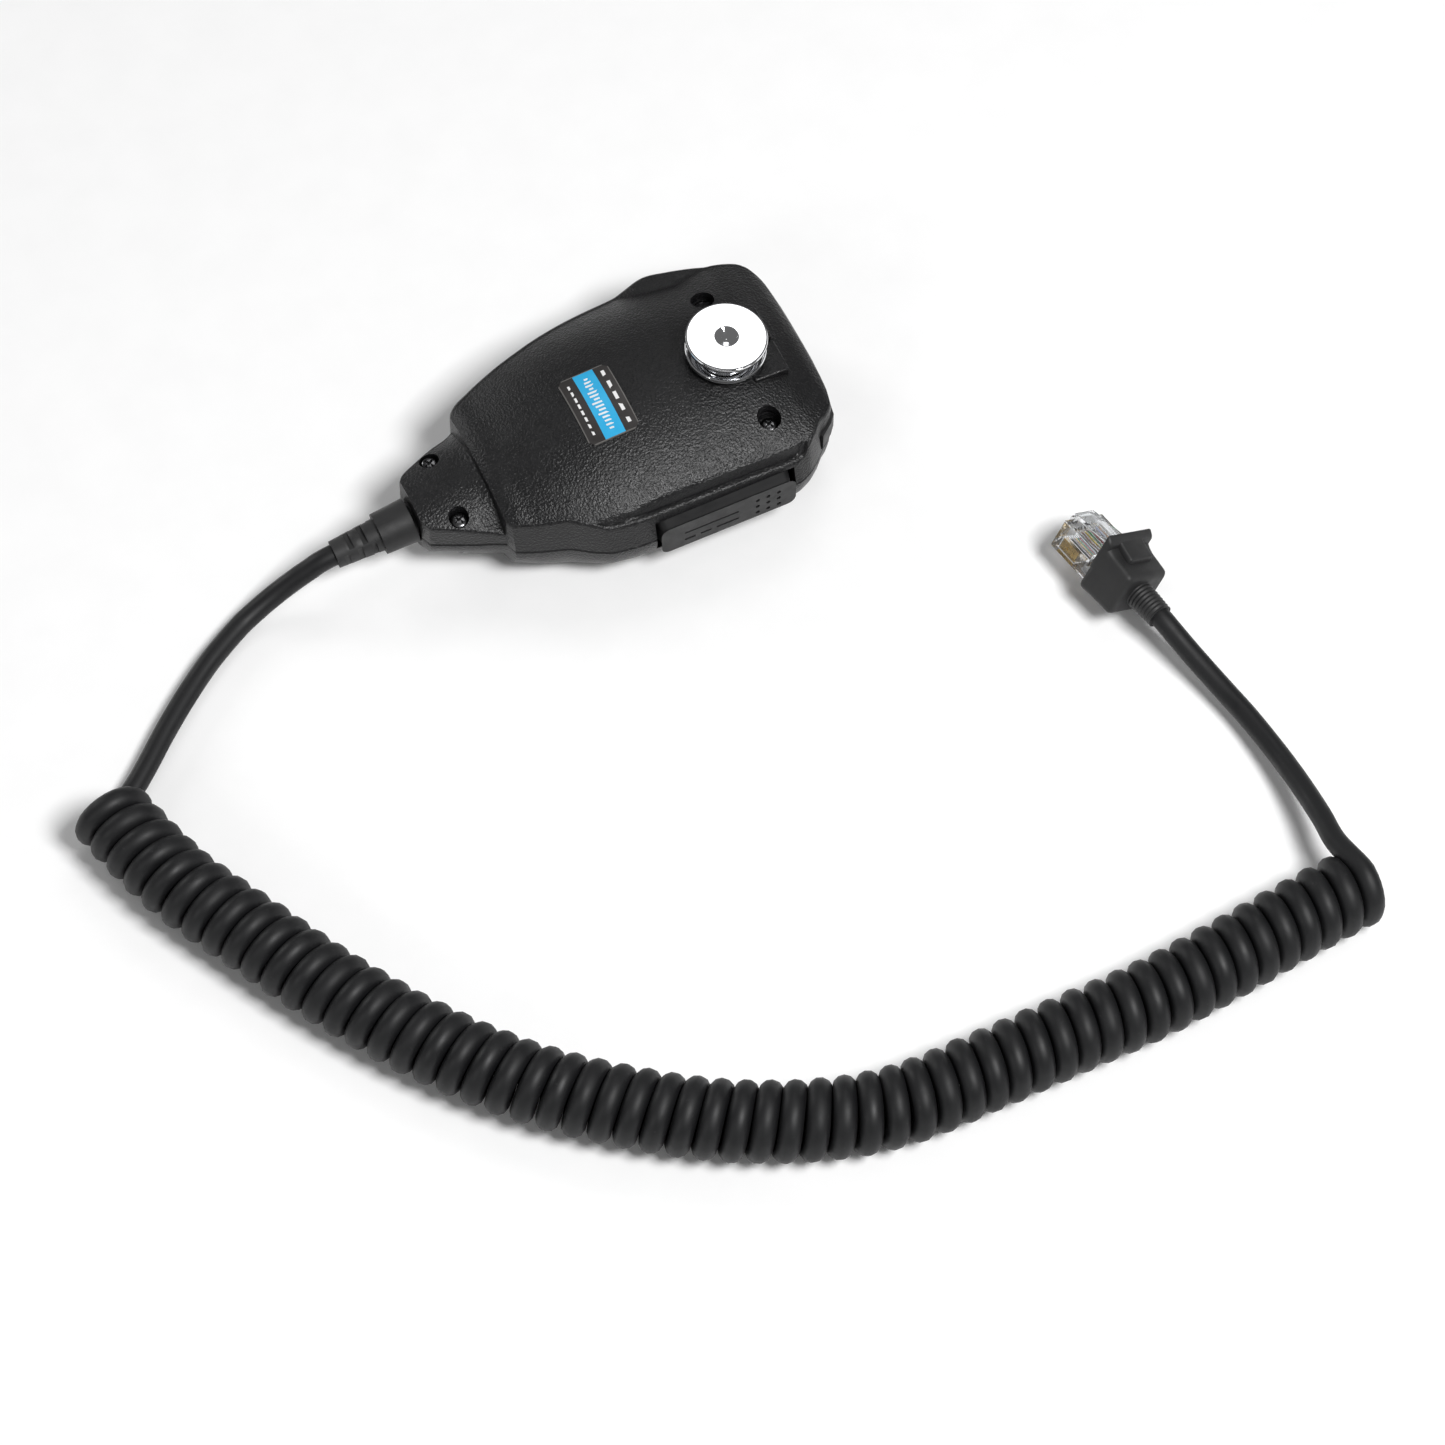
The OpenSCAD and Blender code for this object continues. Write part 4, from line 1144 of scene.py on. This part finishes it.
def make_boot():
    """The rubber boot: a flared block, its upstand behind the latch, and the hood over the latch."""
    def slab(u_and_sizes):
        return loft([
            [at_plug(u, v * half, w) for v, w in ((-1, low), (1, low), (1, top), (-1, top))]
            for u, half, low, top in u_and_sizes
        ])

    body = [(0, 6.2, -5.2, 5.0), (6.3, 6.55, -5.2, 5.6), (9.6, 7.1, -5.2, 7.2)]
    body = rounded_part("boot_body", slab(body), 1.3)
    upstand = rounded_part("boot_upstand", slab([(7.7, 6.85, 0, 7.6), (9.6, 7.1, 0, 8.87)]), 0.75)
    hood = rounded_part("boot_hood", slab([(3.6, 3.6, 3, 6.6), (7.7, 3.6, 3, 7.5), (9.4, 3.6, 3, 8.7)]), 0.6)
    boot = carve(carve(body, upstand, "UNION"), hood, "UNION")
    body_room = [(1.4, 5.87, -3.72, 2.94), (11, 5.87, -3.72, 2.94)]
    latch_room = [(4.4, 3.2, 2, 5.8), (11, 3.2, 2, 5.8)]
    for room in (body_room, latch_room):
        boot = carve(boot, merged("boot_room", [slab(room)]))
    boot = carve(boot, merged("cord_room", [drum(at_plug(0, 0, 0), 2.32, -3, 3, 32, PLUG_TURN @ ALONG_X)]))
    soften(boot, 35)
    piece = new_piece("plug_boot_finished", boot, BOOT, "case")
    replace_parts(piece, "plug_boot")


make_boot()
dressed_copy("plug_body", CLEAR, "case", 0.00012)
dressed_copy("plug_latch", CLEAR, "latch", 0.0001)
grown("ringed_neck", None, RINGED, {
    "Start": at_plug(-6.8, 0, 0) * MM, "End": at_plug(0.2, 0, 0) * MM, "First radius": 2.68 * MM,
    "Last radius": 3.05 * MM, "Ring height": 0.09 * MM, "Rings": 8.0, "Finish": BOOT.material,
})


def strand(a, b, radius, colour):
    """One wire from a to b, as points, faces and its colour."""
    way = (b - a).normalized()
    side = way.cross(Vector((0, 0, 1))).normalized()
    other = side.cross(way)
    points, faces = loft([[p + side * q.x + other * q.y for q in around(radius, 12)] for p in (a, b)])
    return points, faces, colour


def strands_piece(name, strands, node):
    points, faces, colours = [], [], []
    for some_points, some_faces, colour in strands:
        start = len(points)
        points += [p * MM for p in some_points]
        faces += [tuple(start + i for i in face) for face in some_faces]
        colours += [(*colour, 1)] * len(some_points)
    mesh = mesh_from(name, points, faces)
    kept = mesh.color_attributes.new("strand_colour", "FLOAT_COLOR", "POINT")
    kept.data.foreach_set("color", [c for colour in colours for c in colour])
    with reworked(mesh) as work:
        bmesh.ops.recalc_face_normals(work, faces=work.faces)
    soften(mesh, 50)
    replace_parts(new_piece(name, mesh, STRANDS, "case"), node)


WIRE_COLOURS = [
    (0.85, 0.85, 0.82), (0.75, 0.28, 0.03), (0.02, 0.12, 0.55), (0.6, 0.03, 0.02), (0.03, 0.35, 0.07),
    (0.8, 0.62, 0.04), (0.22, 0.08, 0.03), (0.05, 0.05, 0.05),
]
WIRE_PITCH = 1.02


def make_wires():
    plug = []
    for i, colour in enumerate(WIRE_COLOURS):
        y = WIRE_PITCH * (i - 3.5)
        plug.append(strand(at_plug(5.2, 0.5 * (i - 3.5), 0), at_plug(10.2, y, 0.1), 0.22, colour))
        plug.append(strand(at_plug(10.1, y, 0.1), at_plug(17.3, y, 0.1), 0.35, colour))
    strands_piece("plug_wire_strands", plug, "plug_wires")
    inner = []
    for i, colour in enumerate(WIRE_COLOURS[:6]):
        ends = Vector((-32.1, -1.6 + 0.64 * i, 12)), Vector((-16, -2.2 + 2.1 * i, 12.4))
        inner.append(strand(*ends, 0.28, colour))
    strands_piece("inner_wire_strands", inner, "inner_wires")


make_wires()


# ---- finishes of the CAD nodes that stay ----

KEPT = (
    (STEEL, ("hang_stud_screw", "hang_stud_washer", "ptt_pivot_pin", "board_screws")),
    (DARK, ("ptt_switch_body", "up_switch", "down_switch")),
    (PALE, ("ptt_switch_plunger", "up_switch_plunger", "down_switch_plunger", "key_ribbon", "wire_header",
            "cable_tie")),
    (BOARD, ("circuit_board", "key_board")), (CAPSULE, ("mic_capsule",)), (SOFT, ("capsule_boot",)),
    (CLOTH, ("grille_cloth",)), (GOLD, ("plug_contacts",)),
)
for finish, nodes in KEPT:
    for node in nodes:
        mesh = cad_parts[node].data
        mesh.materials.clear()
        mesh.materials.append(finish.material)


# ---- studio ----

FLOOR_REACH = 3
FLOOR_DROP = 0.0002
WORLD_LIGHT = 0.14


def make_studio():
    corners = [(x * FLOOR_REACH, y * FLOOR_REACH, 0) for x, y in ((-1, -1), (1, -1), (1, 1), (-1, 1))]
    floor = mesh_from("floor", corners, [(0, 1, 2, 3)])
    paper = moulded("studio_paper", (0.93, 0.93, 0.93), (0.95, 0.95, 0.95), (0.85, 0.95), 300, 0.02)
    floor.materials.append(paper.material)
    ground = put_in_scene("floor", floor)
    ground.location.z = -FLOOR_DROP
    world = bpy.data.worlds.new("studio")
    world.use_nodes = True
    background = world.node_tree.nodes["Background"]
    background.inputs["Color"].default_value = (1, 1, 1, 1)
    background.inputs["Strength"].default_value = WORLD_LIGHT
    bpy.context.scene.world = world
    for name, place, size, power in (
        ("top_panel", (0.42, 0.6, 1.0), 0.5, 1.5), ("key_softbox", (0.24, -0.56, 0.98), 0.34, 12),
        ("back_strip", (-0.5, 0.85, 0.45), 0.35, 2.2), ("side_strip", (-0.8, -0.35, 0.5), 0.3, 1.2),
    ):
        data = bpy.data.lights.new(name, "AREA")
        data.size = size
        data.energy = power
        lamp = put_in_scene(name, data)
        aim = Vector((0, -0.06, 0)) - Vector(place)
        lamp.matrix_world = Matrix.Translation(place) @ aim.to_track_quat("-Z", "Y").to_matrix().to_4x4()
    bpy.context.scene.view_settings.view_transform = "Standard"


make_studio()
